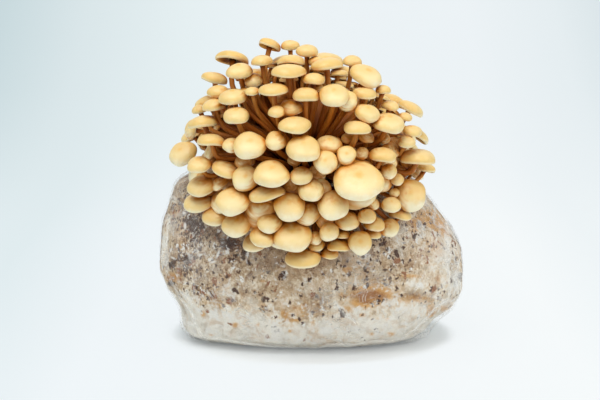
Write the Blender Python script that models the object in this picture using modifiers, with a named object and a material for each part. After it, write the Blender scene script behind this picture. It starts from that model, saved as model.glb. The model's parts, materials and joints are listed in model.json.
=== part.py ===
"""Golden enoki mushroom grow kit: a film-wrapped sawdust loaf with one big flush of mushrooms.

Lengths are in millimetres and meshes are made in metres. The loaf lies along X, its front
faces -Y, and the origin is the middle of the flat face that it rests on.
"""

import math
from collections import namedtuple

import bmesh
import bpy
import numpy as np
from mathutils import Matrix, Vector

MM = 0.001

# Loaf and film
LOAF_WIDTH = 202.0
LOAF_DEPTH = 125.0
LOAF_HEIGHT = 121.0
FILM = 0.6
FILM_GAP = 0.4
SECTION_POWER = 2.5
SECTION_SIDES = 20
# Height as a share of the whole, reach to the left and to the right, and half depth,
# each as a share of half the width or half the depth.
SECTIONS = (
    (0.00, 0.74, 0.69, 0.62),
    (0.05, 0.84, 0.80, 0.79),
    (0.16, 0.89, 0.96, 0.92),
    (0.27, 0.96, 1.00, 0.98),
    (0.38, 1.00, 1.00, 1.00),
    (0.50, 1.00, 0.98, 0.99),
    (0.62, 0.99, 0.90, 0.94),
    (0.74, 0.94, 0.79, 0.86),
    (0.85, 0.90, 0.70, 0.72),
    (0.94, 0.74, 0.60, 0.50),
    (0.99, 0.42, 0.36, 0.25),
)
CROWN_RISE = 0.01
CROWN_SLOPE = 12.0
# Pinches of the film: angle round the loaf, share of the height, reach, spread in both.
PLEATS = (
    (-30.0, 0.05, 9.0, 12.0, 0.09),
    (-150.0, 0.10, 4.5, 12.0, 0.10),
    (180.0, 0.20, -3.0, 14.0, 0.05),
    (165.0, 0.80, 3.0, 14.0, 0.12),
    (15.0, 0.62, 3.0, 14.0, 0.10),
)

# Mouth of the film, and the stem butt that swells out of it
MOUTH_LEAN = 30.0
MOUTH_ACROSS = -4.0
MOUTH_MARGIN = 7.0
AXIS_BACK = 0.06
AXIS_UP = 0.55
BUTT_SWELL = 9.0
BUTT_DROP = 4.0
BUTT_FLAT = 0.86
BUTT_SIDES = 16
BUTT_ROWS = 8
BUTT_ROOM = 0.56
BUTT_EDGE = 0.02
MOUTH_SIDES = 20
MOUTH_DEPTH = 4.0

# Mushrooms
STEM_WIDTH = 3.2
STEM_SPREAD = 0.35
STEM_LIMITS = (0.7, 1.3)
STEM_OF_CAP = 8.0
STEM_GAP = 0.45
CAP_GAP = 0.55
SEAT_GAP = 0.35
SKIN_GAP = 0.6
DOME_OF_BUD = 0.96
DOME_LOSS = 0.032
DOME_LEAST = 0.48
DOME_MOST = 0.82
SHOULDER_REACH = 0.69
SHOULDER_RISE = 0.72
LEAN_OUT = 10.0
CAP_LOBES = 0.045
WIDE_CAP = 11.0
MIDDLE_CAP = 7.0
STEM_POINTS = 5
STEM_SINK = 0.1
SLIVER = 1.0
SHARP_EDGE = 70.0
SEED = 7

# The dome that the caps lie on: its heart against the loaf, and its reach from there
HEART_INSET = 42.5
HEART_DROP = 3.0
DOME_ACROSS = 79.0
DOME_FRONT = 58.0
DOME_BACK = 58.0
DOME_UP = 74.0
DOME_DOWN = 47.0
DOWN_SHARE = 0.30
TIER = 13.0

# Where the table of caps was measured from: an eye in front, and the upright plane y = 0
# of a loaf whose dome has its heart here.
EYE = np.array((-7.9, -880.3, 277.6))
TABLE_HEART = np.array((-4.0, -20.0, 118.0))

Cap = namedtuple(
    "Cap", "across high wide tall lean tier face", defaults=(None, 0.0, None)
)

# Each clump is one node: mushrooms whose stems have grown together at the foot.
CLUMPS = {
    "top": (
        (
            Cap(-51, 183, 21.5, 9, lean=14, face=-14, tier=0.3),
            Cap(-47, 175, 17, 9.5),
            Cap(-39, 171, 11.5, 8.5, tier=1),
        ),
        (Cap(-62.5, 171, 16, 6.5, lean=12), Cap(-61, 162, 13.5, 7.5)),
        (Cap(-51, 158.5, 17.5, 9.5), Cap(-63.5, 153.3, 15, 7.5)),
        (Cap(-26.5, 192.5, 14.5, 7, lean=20, face=-10), Cap(-32.5, 182, 14, 6.5)),
        (Cap(-14.8, 191.8, 11.5, 6), Cap(-14, 182, 17, 8, face=-6, tier=0.2)),
        (Cap(-3.5, 188.3, 13.5, 7.5), Cap(9, 180.5, 20, 7, lean=-8), Cap(2, 181.5, 9, 6, tier=0.8)),
        (Cap(-14.5, 176, 22, 8), Cap(0.3, 171, 14, 7)),
        (Cap(-24.5, 164.5, 23, 8.5), Cap(-35.5, 165.3, 13, 7.5)),
        (Cap(13, 159.5, 19, 14), Cap(22.5, 157.5, 14, 13)),
        (Cap(-3, 158, 17, 8.5), Cap(-13.5, 153.5, 15, 10, tier=1), Cap(-23, 148.8, 10.5, 7.5)),
        (
            Cap(34, 171, 20, 13, lean=24),
            Cap(25.7, 181.7, 12.5, 7),
            Cap(33.5, 162.3, 15, 7),
            Cap(45.8, 163.3, 9.5, 5.5),
        ),
    ),
    "left": (
        (
            Cap(-69.5, 143.8, 18.5, 7),
            Cap(-73, 150.5, 9.5, 5.5, tier=0.6),
            Cap(-78.8, 137.3, 13, 7, lean=-78, tier=0.9),
        ),
        (Cap(-65, 130.4, 18, 7.5, lean=4),),
        (Cap(-84, 121, 18, 14, lean=-32), Cap(-70, 116.5, 15.5, 10, lean=-8)),
        (Cap(-58.5, 113, 20, 10, lean=20, tier=0.25),),
        (Cap(-49, 146, 16.5, 10.5),),
        (Cap(-40.3, 126.3, 20.5, 17), Cap(-53, 126.7, 11, 9.5, tier=0.2)),
        (Cap(-72, 101.8, 18.5, 12.5), Cap(-72.5, 91, 19.5, 12, tier=0.3)),
        (Cap(-43.5, 104.5, 17, 16.5, tier=0.2),),
    ),
    "middle": (
        (Cap(-11.5, 140.2, 21, 10.5),),
        (Cap(-7, 126.3, 21, 17),),
        (Cap(-23.7, 129.3, 14, 11.5, tier=0.2), Cap(-10, 116.5, 9, 7, tier=1)),
        (Cap(-26.5, 107.3, 22.5, 17, tier=-0.2),),
        (Cap(8.7, 116.3, 15.5, 14.8), Cap(11, 126.5, 16, 12, tier=0.4)),
        (
            Cap(22.5, 118, 12.5, 12),
            Cap(29.3, 138.8, 17.5, 8.5),
            Cap(26, 131, 11, 7, tier=0.8),
        ),
    ),
    "right": (
        (Cap(35.5, 146.5, 16, 11, lean=18, tier=0.2),),
        (Cap(49, 142, 20.5, 12.5, lean=10), Cap(50.5, 153, 11, 6, tier=0.4)),
        (
            Cap(65, 136, 12.5, 7),
            Cap(60, 145.5, 9, 5.5, tier=0.2),
            Cap(61.5, 129.3, 11, 7.5),
        ),
        (Cap(69, 119, 23, 10, lean=3), Cap(74, 112.5, 13, 4.8, tier=0.7)),
        (
            Cap(45, 119.5, 17, 9.5),
            Cap(33.5, 121.3, 9, 8.2, tier=0.5),
            Cap(46, 131, 9, 7.8, tier=1.2),
        ),
        (Cap(29.5, 102, 31, 25, tier=-0.3), Cap(39, 110.5, 17, 12, tier=0.5)),
        (Cap(50.3, 109.5, 10, 9.6), Cap(55.5, 104, 9, 7.5, tier=0.3)),
        (Cap(64, 93.5, 21, 22, face=72, lean=10), Cap(54, 95.5, 9.5, 8.5, tier=0.3)),
    ),
    "front": (
        (Cap(-50.5, 90.3, 21.5, 18, tier=-0.1), Cap(-64.5, 82.3, 17.5, 12.5, tier=0.4)),
        (Cap(-30.5, 94, 23.5, 10, lean=-11, tier=0.2),),
        (Cap(-15.5, 87.5, 20.5, 18), Cap(-3.3, 81.5, 17, 15.5, tier=0.4)),
        (Cap(-1, 97, 16, 14), Cap(-7, 106.5, 14.5, 11, tier=0.1)),
        (Cap(13.8, 86.5, 20.5, 18.6, tier=-0.1), Cap(22.7, 76.3, 15.5, 12.5, tier=0.3)),
        (Cap(-49.5, 73.5, 18.5, 16), Cap(-28, 74.7, 15.5, 13), Cap(-40, 76, 12, 10, tier=1)),
        (Cap(-32, 65.3, 17, 12.5), Cap(-38, 61.3, 14.5, 12, tier=0.6)),
        (Cap(-12.8, 65.5, 24, 20), Cap(-5, 53, 23, 13, tier=0.5)),
        (
            Cap(11.5, 69, 12.5, 12.2),
            Cap(2, 64.5, 9, 8.7, tier=0.3),
            Cap(2.3, 58.5, 11, 8, tier=0.6),
            Cap(21, 67, 10, 6, tier=0.4),
        ),
        (
            Cap(30.3, 61.8, 15.5, 15.2),
            Cap(18, 61.3, 15.5, 8.5, tier=0.4),
            Cap(11.5, 55, 12, 8, tier=0.7),
        ),
        (
            Cap(50, 71.5, 12.5, 12.2, tier=0.4),
            Cap(40.5, 74.7, 13.5, 9.5, tier=0.2),
            Cap(36, 79.3, 11.5, 9.5),
            Cap(41, 68, 10.5, 7, tier=0.6),
        ),
        (
            Cap(49.5, 87.3, 15, 12.5),
            Cap(57.5, 80.5, 14.5, 7, tier=0.6),
            Cap(39.5, 88, 8.5, 8, tier=0.5),
            Cap(30.5, 88, 15, 9, tier=0.6),
        ),
    ),
}

# Rows of mushrooms round the back of the dome: elevation, first and last bearing, how many.
BACK_ROWS = (
    (12.0, 20.0, 160.0, 8),
    (36.0, 12.0, 168.0, 8),
    (58.0, 26.0, 154.0, 6),
    (76.0, 60.0, 120.0, 2),
)
BACK_UP = 62.0
BACK_RADIUS = (7.5, 12.0)
BACK_WANDER = 4.0
BACK_OUT = 0.55
BACK_UPRIGHT = 0.75
BACK_LEAN = 0.12

# Feet on the butt: how they spread, and how strongly they part and draw together
FEET_REACH = 0.96
FEET_SPREAD = 0.9
FEET_INSET = 0.6
FEET_TOGETHER = 0.47
FEET_ROUNDS = 400
FEET_PUSH = 0.5
FEET_DRAW = 0.12
FEET_STEP = 0.7

# Settling: the rounds, and how strongly each rule acts in one
ROUNDS = 260
LATE = 0.7
SETTLED = 0.1
SEAT_PULL = 0.06
BEND_PULL = 0.3
TOP_PULL = 0.15
FOOT_PULL = 0.1
CAP_PUSH = 0.3
CAP_GIVE = 0.12
SIDE_GIVE = 0.4
STEM_PUSH = 0.5
PAIR_PUSH = 0.4
LOAF_PUSH = 0.8
MOST_STEP = 2.0
FREE_FOOT = 0.3
TRIM_ROUNDS = 8
TRIM_FROM = 0.95

# Colours and roughness
FILM_LOOK = ((0.86, 0.87, 0.86), 0.25)
LOAF_LOOK = ((0.58, 0.53, 0.46), 0.85)
MUSHROOM_LOOK = ((0.80, 0.58, 0.30), 0.45)


def unit(vectors):
    """Vectors of length one along the last axis."""
    vectors = np.asarray(vectors, float)
    return vectors / np.maximum(np.linalg.norm(vectors, axis=-1, keepdims=True), 1e-9)


def dot(first, second):
    """Dot products along the last axis."""
    return np.einsum("...i,...i->...", first, second)


# Loaf


def pleat_reach(angle, share):
    """How far the film stands off its even shape at one angle and share of the height."""
    reach = 0.0
    for centre, height, out, spread, rise in PLEATS:
        turn = (angle - centre + 180.0) % 360.0 - 180.0
        reach += out * math.exp(-((turn / spread) ** 2) - ((share - height) / rise) ** 2)
    return reach


def section_points(share, inset, pleated):
    """One level ring of the loaf, a superellipse with its own reach on each side."""
    left, right, depth = (
        np.interp(share, [row[0] for row in SECTIONS], [row[column] for row in SECTIONS])
        for column in (1, 2, 3)
    )
    height = inset + share * (LOAF_HEIGHT - 2 * inset)
    points = []
    for step in range(SECTION_SIDES):
        angle = 2 * math.pi * step / SECTION_SIDES
        across, along = math.cos(angle), math.sin(angle)
        side = (right if across > 0 else left) * LOAF_WIDTH / 2 - inset
        front = depth * LOAF_DEPTH / 2 - inset
        grow = (abs(across) ** SECTION_POWER + abs(along) ** SECTION_POWER) ** (-1 / SECTION_POWER)
        out = pleat_reach(math.degrees(angle), share)
        if not pleated:
            out = min(out, 0.0)
        stretch = grow * (1 + out / max(side, front))
        points.append((side * across * stretch, front * along * stretch, height))
    return points


def loft(bm, rings):
    """Skins rings of equal count and closes both ends with a fan."""
    made = [[bm.verts.new(Vector(point) * MM) for point in ring] for ring in rings]
    count = len(made[0])
    for lower, upper in zip(made, made[1:]):
        for step in range(count):
            after = (step + 1) % count
            bm.faces.new((lower[step], lower[after], upper[after], upper[step]))
    bm.faces.new(list(reversed(made[0])))
    middle = np.mean(rings[-1], axis=0)
    crown = bm.verts.new(Vector((middle[0], middle[1], crown_height(rings[-1][0][2]))) * MM)
    for step in range(count):
        bm.faces.new((made[-1][step], made[-1][(step + 1) % count], crown))


def crown_height(last_ring):
    """The loaf's top, a little over its last ring."""
    return last_ring + CROWN_RISE * LOAF_HEIGHT


def skin_share(points):
    """Size of the loaf's skin through each point, as a share: under 1 lies inside."""
    points = np.asarray(points, float)
    rows = np.array(SECTIONS)
    share = points[..., 2] / LOAF_HEIGHT
    left = np.interp(share, rows[:, 0], rows[:, 1]) * LOAF_WIDTH / 2
    right = np.interp(share, rows[:, 0], rows[:, 2]) * LOAF_WIDTH / 2
    front = np.interp(share, rows[:, 0], rows[:, 3]) * LOAF_DEPTH / 2
    side = np.where(points[..., 0] > 0, right, left)
    level = (np.abs(points[..., 0]) / side) ** SECTION_POWER
    level = (level + (np.abs(points[..., 1]) / front) ** SECTION_POWER) ** (1 / SECTION_POWER)
    above = np.maximum(share - SECTIONS[-1][0], 0.0)
    return level + above * CROWN_SLOPE


def skin_clearance(points):
    """Distance of points from the loaf's skin and the way out of it."""
    step = 0.5
    value = skin_share(points)
    slope = np.stack(
        [(skin_share(points + step * way) - value) / step for way in np.eye(3)], axis=-1
    )
    steep = np.maximum(np.linalg.norm(slope, axis=-1), 1e-3)
    return (value - 1) / steep, slope / steep[..., None]


# Mouth and butt


def mouth_axis():
    """The way the film's mouth faces."""
    lean = math.radians(MOUTH_LEAN)
    return np.array((0.0, -math.sin(lean), math.cos(lean)))


def mouth_centre():
    """Where the mouth's axis, from the middle of the loaf, comes out of the skin."""
    start = np.array((MOUTH_ACROSS, -AXIS_BACK * LOAF_DEPTH, AXIS_UP * LOAF_HEIGHT))
    reach = np.linspace(0.0, LOAF_HEIGHT, 2001)
    along = start + reach[:, None] * mouth_axis()
    out = np.argmax(skin_share(along) > 1.0)
    return along[out]


def butt_radii(stem_count):
    """Half sizes of the butt: wide enough for every stem's foot."""
    pitch = STEM_WIDTH + STEM_GAP
    across = BUTT_ROOM * pitch * math.sqrt(stem_count) + STEM_WIDTH
    return np.array((across, BUTT_FLAT * across, BUTT_SWELL + BUTT_DROP))


def mouth_frame():
    """Rotation whose columns run across, up the mouth's slope and out of it."""
    out = mouth_axis()
    across = np.array((1.0, 0.0, 0.0))
    return np.stack((across, np.cross(out, across), out), axis=1)


def butt_centre():
    """Middle of the ellipsoid whose top is the butt."""
    return mouth_centre() - BUTT_DROP * mouth_axis()


def butt_surface(places, radii):
    """Points of the butt over places on its disc, and the ways out of it."""
    flat = places / radii[:2]
    rise = np.sqrt(np.maximum(1 - (flat**2).sum(axis=-1), BUTT_EDGE))
    local = np.concatenate((places, (rise * radii[2])[..., None]), axis=-1)
    outward = np.concatenate((flat / radii[:2], (rise / radii[2])[..., None]), axis=-1)
    turn = mouth_frame()
    return butt_centre() + local @ turn.T, unit(outward @ turn.T)


# Cluster


class Cluster:
    """Every mushroom of the flush: where it sits, how it leans and how its stem runs."""

    def __init__(self):
        self.seat = []
        self.axis = []
        self.radius = []
        self.clump = []
        self.sideways = []

    def add(self, seat, axis, radius, clump, sideways=1.0):
        """Adds one mushroom; sideways is how readily it gives way across the view."""
        self.seat.append(seat)
        self.axis.append(axis)
        self.radius.append(radius)
        self.clump.append(clump)
        self.sideways.append((sideways, 1.0, sideways))

    def freeze(self):
        """Turns the lists into arrays and sets stems from the sizes."""
        self.seat = np.array(self.seat)
        self.target = self.seat.copy()
        self.axis = unit(self.axis)
        self.radius = np.array(self.radius)
        self.dome = self.radius * dome_share(self.radius)
        self.clump = np.array(self.clump)
        self.sideways = np.array(self.sideways)
        share = 1 + STEM_SPREAD * (self.radius / STEM_OF_CAP - 1)
        self.stem = STEM_WIDTH / 2 * np.clip(share, *STEM_LIMITS)


def dome_share(radius):
    """Height of a cap's dome over its radius: a bud is rounder than an open cap."""
    return np.clip(DOME_OF_BUD - DOME_LOSS * radius, DOME_LEAST, DOME_MOST)


def dome_value(points):
    """Size of the caps' dome through each point, about the table's heart."""
    across, along, up = np.moveaxis(points - TABLE_HEART, -1, 0)
    tall = np.where(up > 0, up / DOME_UP, DOWN_SHARE * up / DOME_DOWN)
    deep = np.where(along > 0, along / DOME_BACK, along / DOME_FRONT)
    return (across / DOME_ACROSS) ** 2 + deep**2 + tall**2


def seen_place(cap):
    """Slides a cap of the table along its sight line onto the dome.

    Returns the cap's place there, the way to the eye, and the scale of sizes there.
    """
    sight = np.array((cap.across, 0.0, cap.high)) - EYE
    share = np.linspace(0.86, 1.10, 961)
    value = dome_value(EYE + share[:, None] * sight)
    inside = value <= 1.0
    nearest = np.argmax(inside) if inside.any() else np.argmin(value)
    scale = share[nearest] + cap.tier * TIER / np.linalg.norm(sight)
    return EYE + scale * sight, -unit(sight), scale


def face_of(cap, dome):
    """Sine of the angle at which a cap's rim faces the eye, from its height over its width."""
    if cap.face is not None:
        return math.sin(math.radians(cap.face))
    ratio = min(cap.tall / cap.wide, 0.995)
    square = 4 * ratio**2 - dome**2 * (4 * ratio**2 - dome**2)
    return min(max((2 * ratio - math.sqrt(max(square, 0.0))) / dome**2, 0.0), 0.97)


def add_seen_cap(cluster, cap, clump, shift):
    """Adds a mushroom of the table."""
    place, to_eye, scale = seen_place(cap)
    radius = cap.wide / 2 * scale
    dome = float(dome_share(radius))
    sine = face_of(cap, dome)
    cosine = math.sqrt(1 - sine**2)
    lean = cap.lean
    if lean is None:
        lean = LEAN_OUT * (cap.across - TABLE_HEART[0]) / DOME_ACROSS
    right = unit(np.cross(-to_eye, (0.0, 0.0, 1.0)))
    up = np.cross(right, -to_eye)
    upward = math.cos(math.radians(lean)) * up + math.sin(math.radians(lean)) * right
    rise = radius * (math.hypot(sine, dome * cosine) - abs(sine)) / 2
    seat = place - rise * upward + shift
    cluster.add(seat, sine * to_eye + cosine * upward, radius, clump, SIDE_GIVE)


def back_clumps(cluster, first, shift):
    """Adds the mushrooms round the back, two to a clump, and returns the clumps' count."""
    draw = np.random.default_rng(SEED)
    added = 0
    for elevation, start, end, count in BACK_ROWS:
        for bearing in np.linspace(start, end, count):
            rise = math.radians(elevation + draw.uniform(-BACK_WANDER, BACK_WANDER))
            turn = math.radians(bearing + draw.uniform(-BACK_WANDER, BACK_WANDER))
            way = np.array(
                (math.cos(rise) * math.cos(turn), math.cos(rise) * math.sin(turn), math.sin(rise))
            )
            seat = TABLE_HEART + way * (DOME_ACROSS, DOME_BACK, BACK_UP) + shift
            axis = BACK_OUT * way + (draw.uniform(-BACK_LEAN, BACK_LEAN), 0.0, BACK_UPRIGHT)
            radius = draw.uniform(*BACK_RADIUS)
            cluster.add(seat, axis, radius, first + added // 2)
            added += 1
    return (added + 1) // 2


def loaf_shift():
    """From the table's heart to the heart of the dome on this loaf."""
    heart = (MOUTH_ACROSS, HEART_INSET - LOAF_DEPTH / 2, LOAF_HEIGHT - HEART_DROP)
    return np.array(heart) - TABLE_HEART


def plan_cluster():
    """The whole flush before it is settled, and the name of each clump."""
    cluster, names, shift = Cluster(), [], loaf_shift()
    for region, clumps in CLUMPS.items():
        for number, caps in enumerate(clumps, 1):
            for cap in caps:
                add_seen_cap(cluster, cap, len(names), shift)
            names.append(f"mushrooms_{region}_{number:02d}")
    backs = back_clumps(cluster, len(names), shift)
    names += [f"mushrooms_back_{number:02d}" for number in range(1, backs + 1)]
    cluster.freeze()
    return cluster, names


# Feet and stems


def spread_feet(cluster, radii):
    """Places on the butt's disc, in the order of the caps' bearings, none on another."""
    turn = mouth_frame()
    local = (cluster.seat - butt_centre()) @ turn
    polar = np.arctan2(np.hypot(local[:, 0], local[:, 1]), local[:, 2])
    bearing = np.arctan2(local[:, 1], local[:, 0])
    limit = radii[:2] - STEM_WIDTH * FEET_INSET
    reach = FEET_REACH * (polar / polar.max()) ** FEET_SPREAD
    places = np.stack((np.cos(bearing), np.sin(bearing)), axis=1) * reach[:, None] * limit
    own = cluster.clump[:, None] == cluster.clump[None, :]
    apart = cluster.stem[:, None] + cluster.stem[None, :] + STEM_GAP
    apart = np.where(own, FEET_TOGETHER * apart, apart)
    for _ in range(FEET_ROUNDS):
        between = places[:, None, :] - places[None, :, :]
        length = np.linalg.norm(between, axis=-1) + np.eye(len(places)) * 1e3
        near = np.maximum(apart - length, 0.0)
        far = np.where(own & (length < 900), np.maximum(length - apart, 0.0), 0.0)
        pull = FEET_PUSH * near - FEET_DRAW * far
        step = (between / length[..., None] * pull[..., None]).sum(axis=1)
        places = places + FEET_STEP * np.clip(step, -1.0, 1.0)
        over = np.linalg.norm(places / limit, axis=1)
        places = places / np.maximum(over, 1.0)[:, None]
    for number in range(1, len(places)):
        first = np.argmax(cluster.clump == cluster.clump[number])
        between = places[number] - places[first]
        length = np.linalg.norm(between)
        if number != first and length > apart[number, first]:
            places[number] = places[first] + between * apart[number, first] / length
    return places


def lay_stems(cluster, radii):
    """First run of each stem: out of the butt, over, and up into its cap."""
    places = spread_feet(cluster, radii)
    foot, out = butt_surface(places, radii)
    foot = foot + SEAT_GAP * out
    length = np.linalg.norm(cluster.seat - foot, axis=1)[:, None]
    rising = foot + out * length / 3
    below = cluster.seat - cluster.axis * length / 3
    path = []
    for share in np.linspace(0.0, 1.0, STEM_POINTS):
        rest = 1 - share
        low = rest**3 * foot + 3 * share * rest**2 * rising
        path.append(low + 3 * share**2 * rest * below + share**3 * cluster.seat)
    cluster.path = np.stack(path, axis=1)
    cluster.foot_out = out
    cluster.bend = bend_of(cluster.path)


def bend_of(path):
    """How far each inner point of a stem stands off the middle of its neighbours."""
    return path[:, 1:-1] - (path[:, :-2] + path[:, 2:]) / 2


# Settling


def cap_samples(cluster):
    """Points on every cap: its rim, its shoulder and its crown."""
    side = unit(np.cross(cluster.axis, (0.31, 0.87, 0.38)))
    other = np.cross(cluster.axis, side)
    rows = []
    shoulder = (SHOULDER_REACH, SHOULDER_RISE, 8)
    for reach, rise, count in ((1 + CAP_LOBES, 0.0, 12), shoulder, (0.0, 1.0, 1)):
        for step in range(count):
            angle = 2 * math.pi * step / count
            flat = math.cos(angle) * side + math.sin(angle) * other
            rows.append(
                cluster.seat
                + flat * (reach * cluster.radius)[:, None]
                + cluster.axis * (rise * cluster.dome)[:, None]
            )
    return np.stack(rows, axis=1)


def cap_clearance(points, seat, axis, radius, dome):
    """Distance of points from a domed cap, negative inside, and the way out of it."""
    offset = points - seat
    rise = dot(offset, axis)
    flat = offset - rise[..., None] * axis
    reach = np.linalg.norm(flat, axis=-1)
    flat_way = flat / np.maximum(reach, 1e-6)[..., None]
    swell = np.sqrt((reach / radius) ** 2 + (rise / dome) ** 2)
    slope = flat_way * (reach / radius**2)[..., None] + axis * (rise / dome**2)[..., None]
    steep = np.maximum(np.linalg.norm(slope, axis=-1), 1e-6)
    over = (swell - 1) * swell / steep
    over_way = slope / steep[..., None]
    beyond = np.maximum(reach - radius, 0.0)
    under = np.hypot(beyond, rise)
    under_way = unit(flat_way * beyond[..., None] + axis * rise[..., None])
    below = rise < 0
    gap = np.where(below, under, np.maximum(over, -rise))
    through = ~below & (over < -rise)
    way = np.where(below[..., None], under_way, over_way)
    way = np.where(through[..., None], -axis, way)
    return gap, way


def cap_meetings(cluster):
    """Near pairs of caps: the gap between them, both numbers, and the way out of the second."""
    count = len(cluster.seat)
    samples = cap_samples(cluster)
    apart = np.linalg.norm(cluster.seat[:, None] - cluster.seat[None, :], axis=-1)
    near = apart < cluster.radius[:, None] + cluster.radius[None, :] + CAP_GAP
    first, second = np.nonzero(near & ~np.eye(count, dtype=bool))
    gap, way = cap_clearance(
        samples[first],
        cluster.seat[second][:, None],
        cluster.axis[second][:, None],
        (cluster.radius[second] * (1 + CAP_LOBES))[:, None],
        cluster.dome[second][:, None],
    )
    worst = np.argmin(gap, axis=1)
    rows = np.arange(len(first))
    return gap[rows, worst], first, second, way[rows, worst]


def part_caps(cluster):
    """Pushes caps that meet apart; returns the deepest meeting."""
    gap, first, second, way = cap_meetings(cluster)
    depth = CAP_GAP - gap
    push = np.maximum(depth, 0.0)[:, None] * way
    move = np.zeros_like(cluster.seat)
    np.add.at(move, first, push)
    np.add.at(move, second, -push)
    cluster.seat += CAP_PUSH * np.clip(move, -2 * MOST_STEP, 2 * MOST_STEP) * cluster.sideways
    return depth.max(initial=0.0)


def stem_samples(cluster):
    """Points along every stem, the path point below each, and the share of the way past it."""
    shares = np.linspace(0.0, STEM_POINTS - 1.001, 4 * (STEM_POINTS - 1) + 1)
    lower = shares.astype(int)
    part = (shares - lower)[None, :, None]
    points = cluster.path[:, lower] * (1 - part) + cluster.path[:, lower + 1] * part
    return points, lower, shares - lower


def spread_push(cluster, stems, lower, part, push):
    """Shares a push on a point of a stem between the two path points beside it."""
    move = np.zeros_like(cluster.path)
    np.add.at(move, (stems, lower), push * (1 - part)[:, None])
    np.add.at(move, (stems, lower + 1), push * part[:, None])
    cluster.path += np.clip(move, -MOST_STEP, MOST_STEP)


def part_stems_from_caps(cluster):
    """Pushes stems out of other mushrooms' caps; returns the deepest meeting."""
    points, lower, part = stem_samples(cluster)
    count, along = points.shape[:2]
    flat = points.reshape(-1, 3)
    owner = np.repeat(np.arange(count), along)
    apart = np.linalg.norm(flat[:, None] - cluster.seat[None, :], axis=-1)
    near = apart < cluster.radius[None, :] + cluster.dome[None, :]
    point, cap = np.nonzero(near & (owner[:, None] != np.arange(count)[None, :]))
    gap, way = cap_clearance(
        flat[point],
        cluster.seat[cap],
        cluster.axis[cap],
        cluster.radius[cap] * (1 + CAP_LOBES),
        cluster.dome[cap],
    )
    depth = cluster.stem[owner[point]] + STEM_GAP - gap
    hit = depth > 0
    push = depth[hit, None] * way[hit]
    point, cap = point[hit], cap[hit]
    lower, part = np.tile(lower, count)[point], np.tile(part, count)[point]
    spread_push(cluster, owner[point], lower, part, STEM_PUSH * push)
    move = np.zeros_like(cluster.seat)
    np.add.at(move, cap, -CAP_GIVE * push)
    cluster.seat += np.clip(move, -MOST_STEP / 2, MOST_STEP / 2)
    return depth.max(initial=0.0)


def nearest_on_segments(start_a, way_a, start_b, way_b):
    """Shares along pairs of segments at which they come nearest."""
    between = start_a - start_b
    aa, bb, ab = dot(way_a, way_a), dot(way_b, way_b), dot(way_a, way_b)
    da, db = dot(way_a, between), dot(way_b, between)
    level = np.maximum(aa * bb - ab**2, 1e-9)
    share_a = np.clip((ab * db - bb * da) / level, 0.0, 1.0)
    share_b = np.clip((ab * share_a + db) / np.maximum(bb, 1e-9), 0.0, 1.0)
    share_a = np.clip((ab * share_b - da) / np.maximum(aa, 1e-9), 0.0, 1.0)
    return share_a, share_b


def part_stems(cluster):
    """Pushes stems of different clumps apart; returns the deepest meeting."""
    count, runs = len(cluster.path), STEM_POINTS - 1
    start = cluster.path[:, :-1].reshape(-1, 3)
    way = cluster.path[:, 1:].reshape(-1, 3) - start
    owner = np.repeat(np.arange(count), runs)
    order = np.tile(np.arange(runs), count)
    middle, half = start + way / 2, np.linalg.norm(way, axis=1) / 2
    apart = np.linalg.norm(middle[:, None] - middle[None, :], axis=-1)
    near = apart < half[:, None] + half[None, :] + 2 * cluster.stem.max() + STEM_GAP
    other = cluster.clump[owner][:, None] != cluster.clump[owner][None, :]
    own = (owner[:, None] != owner[None, :]) & (np.minimum(order[:, None], order[None, :]) > 0)
    first, second = np.nonzero(np.triu(near & (other | own), 1))
    share_a, share_b = nearest_on_segments(start[first], way[first], start[second], way[second])
    point_a = start[first] + way[first] * share_a[:, None]
    point_b = start[second] + way[second] * share_b[:, None]
    length = np.linalg.norm(point_a - point_b, axis=1)
    wanted = cluster.stem[owner[first]] + cluster.stem[owner[second]] + STEM_GAP
    depth = wanted - length
    hit = depth > 0
    push = unit(point_a - point_b)[hit] * (depth[hit, None] * PAIR_PUSH)
    first, second, share_a, share_b = first[hit], second[hit], share_a[hit], share_b[hit]
    spread_push(cluster, owner[first], order[first], share_a, push)
    spread_push(cluster, owner[second], order[second], share_b, -push)
    return depth.max(initial=0.0)


def clear_loaf(cluster):
    """Pushes caps and stems out of the film that wraps the loaf."""
    samples = cap_samples(cluster)
    gap, way = skin_clearance(samples)
    depth = SKIN_GAP + CAP_GAP - gap
    worst = np.argmax(depth, axis=1)
    rows = np.arange(len(worst))
    cluster.seat += LOAF_PUSH * np.maximum(depth[rows, worst], 0.0)[:, None] * way[rows, worst]
    points, lower, part = stem_samples(cluster)
    count, along = points.shape[:2]
    gap, way = skin_clearance(points.reshape(-1, 3))
    depth = np.repeat(cluster.stem, along) + SKIN_GAP - gap
    hit = np.nonzero((depth > 0) & (np.tile(lower + part, count) > FREE_FOOT))[0]
    push = depth[hit, None] * way[hit] * LOAF_PUSH
    spread_push(cluster, hit // along, lower[hit % along], part[hit % along], push)


def hold_shape(cluster, feet, pull):
    """Draws caps back to their places and stems back to their bends, feet on the butt."""
    cluster.seat += pull * (cluster.target - cluster.seat)
    cluster.path[:, -1] = cluster.seat
    for _ in range(2):
        cluster.path[:, 1:-1] += BEND_PULL * (cluster.bend - bend_of(cluster.path))
    straight = np.linalg.norm(cluster.path[:, -1] - cluster.path[:, -2], axis=1)[:, None]
    aim = cluster.seat - cluster.axis * straight
    cluster.path[:, -2] += TOP_PULL * (aim - cluster.path[:, -2])
    rise = np.linalg.norm(cluster.path[:, 1] - feet, axis=1)[:, None]
    aim = feet + cluster.foot_out * rise
    cluster.path[:, 1] += FOOT_PULL * (aim - cluster.path[:, 1])
    cluster.path[:, 0] = feet


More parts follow.
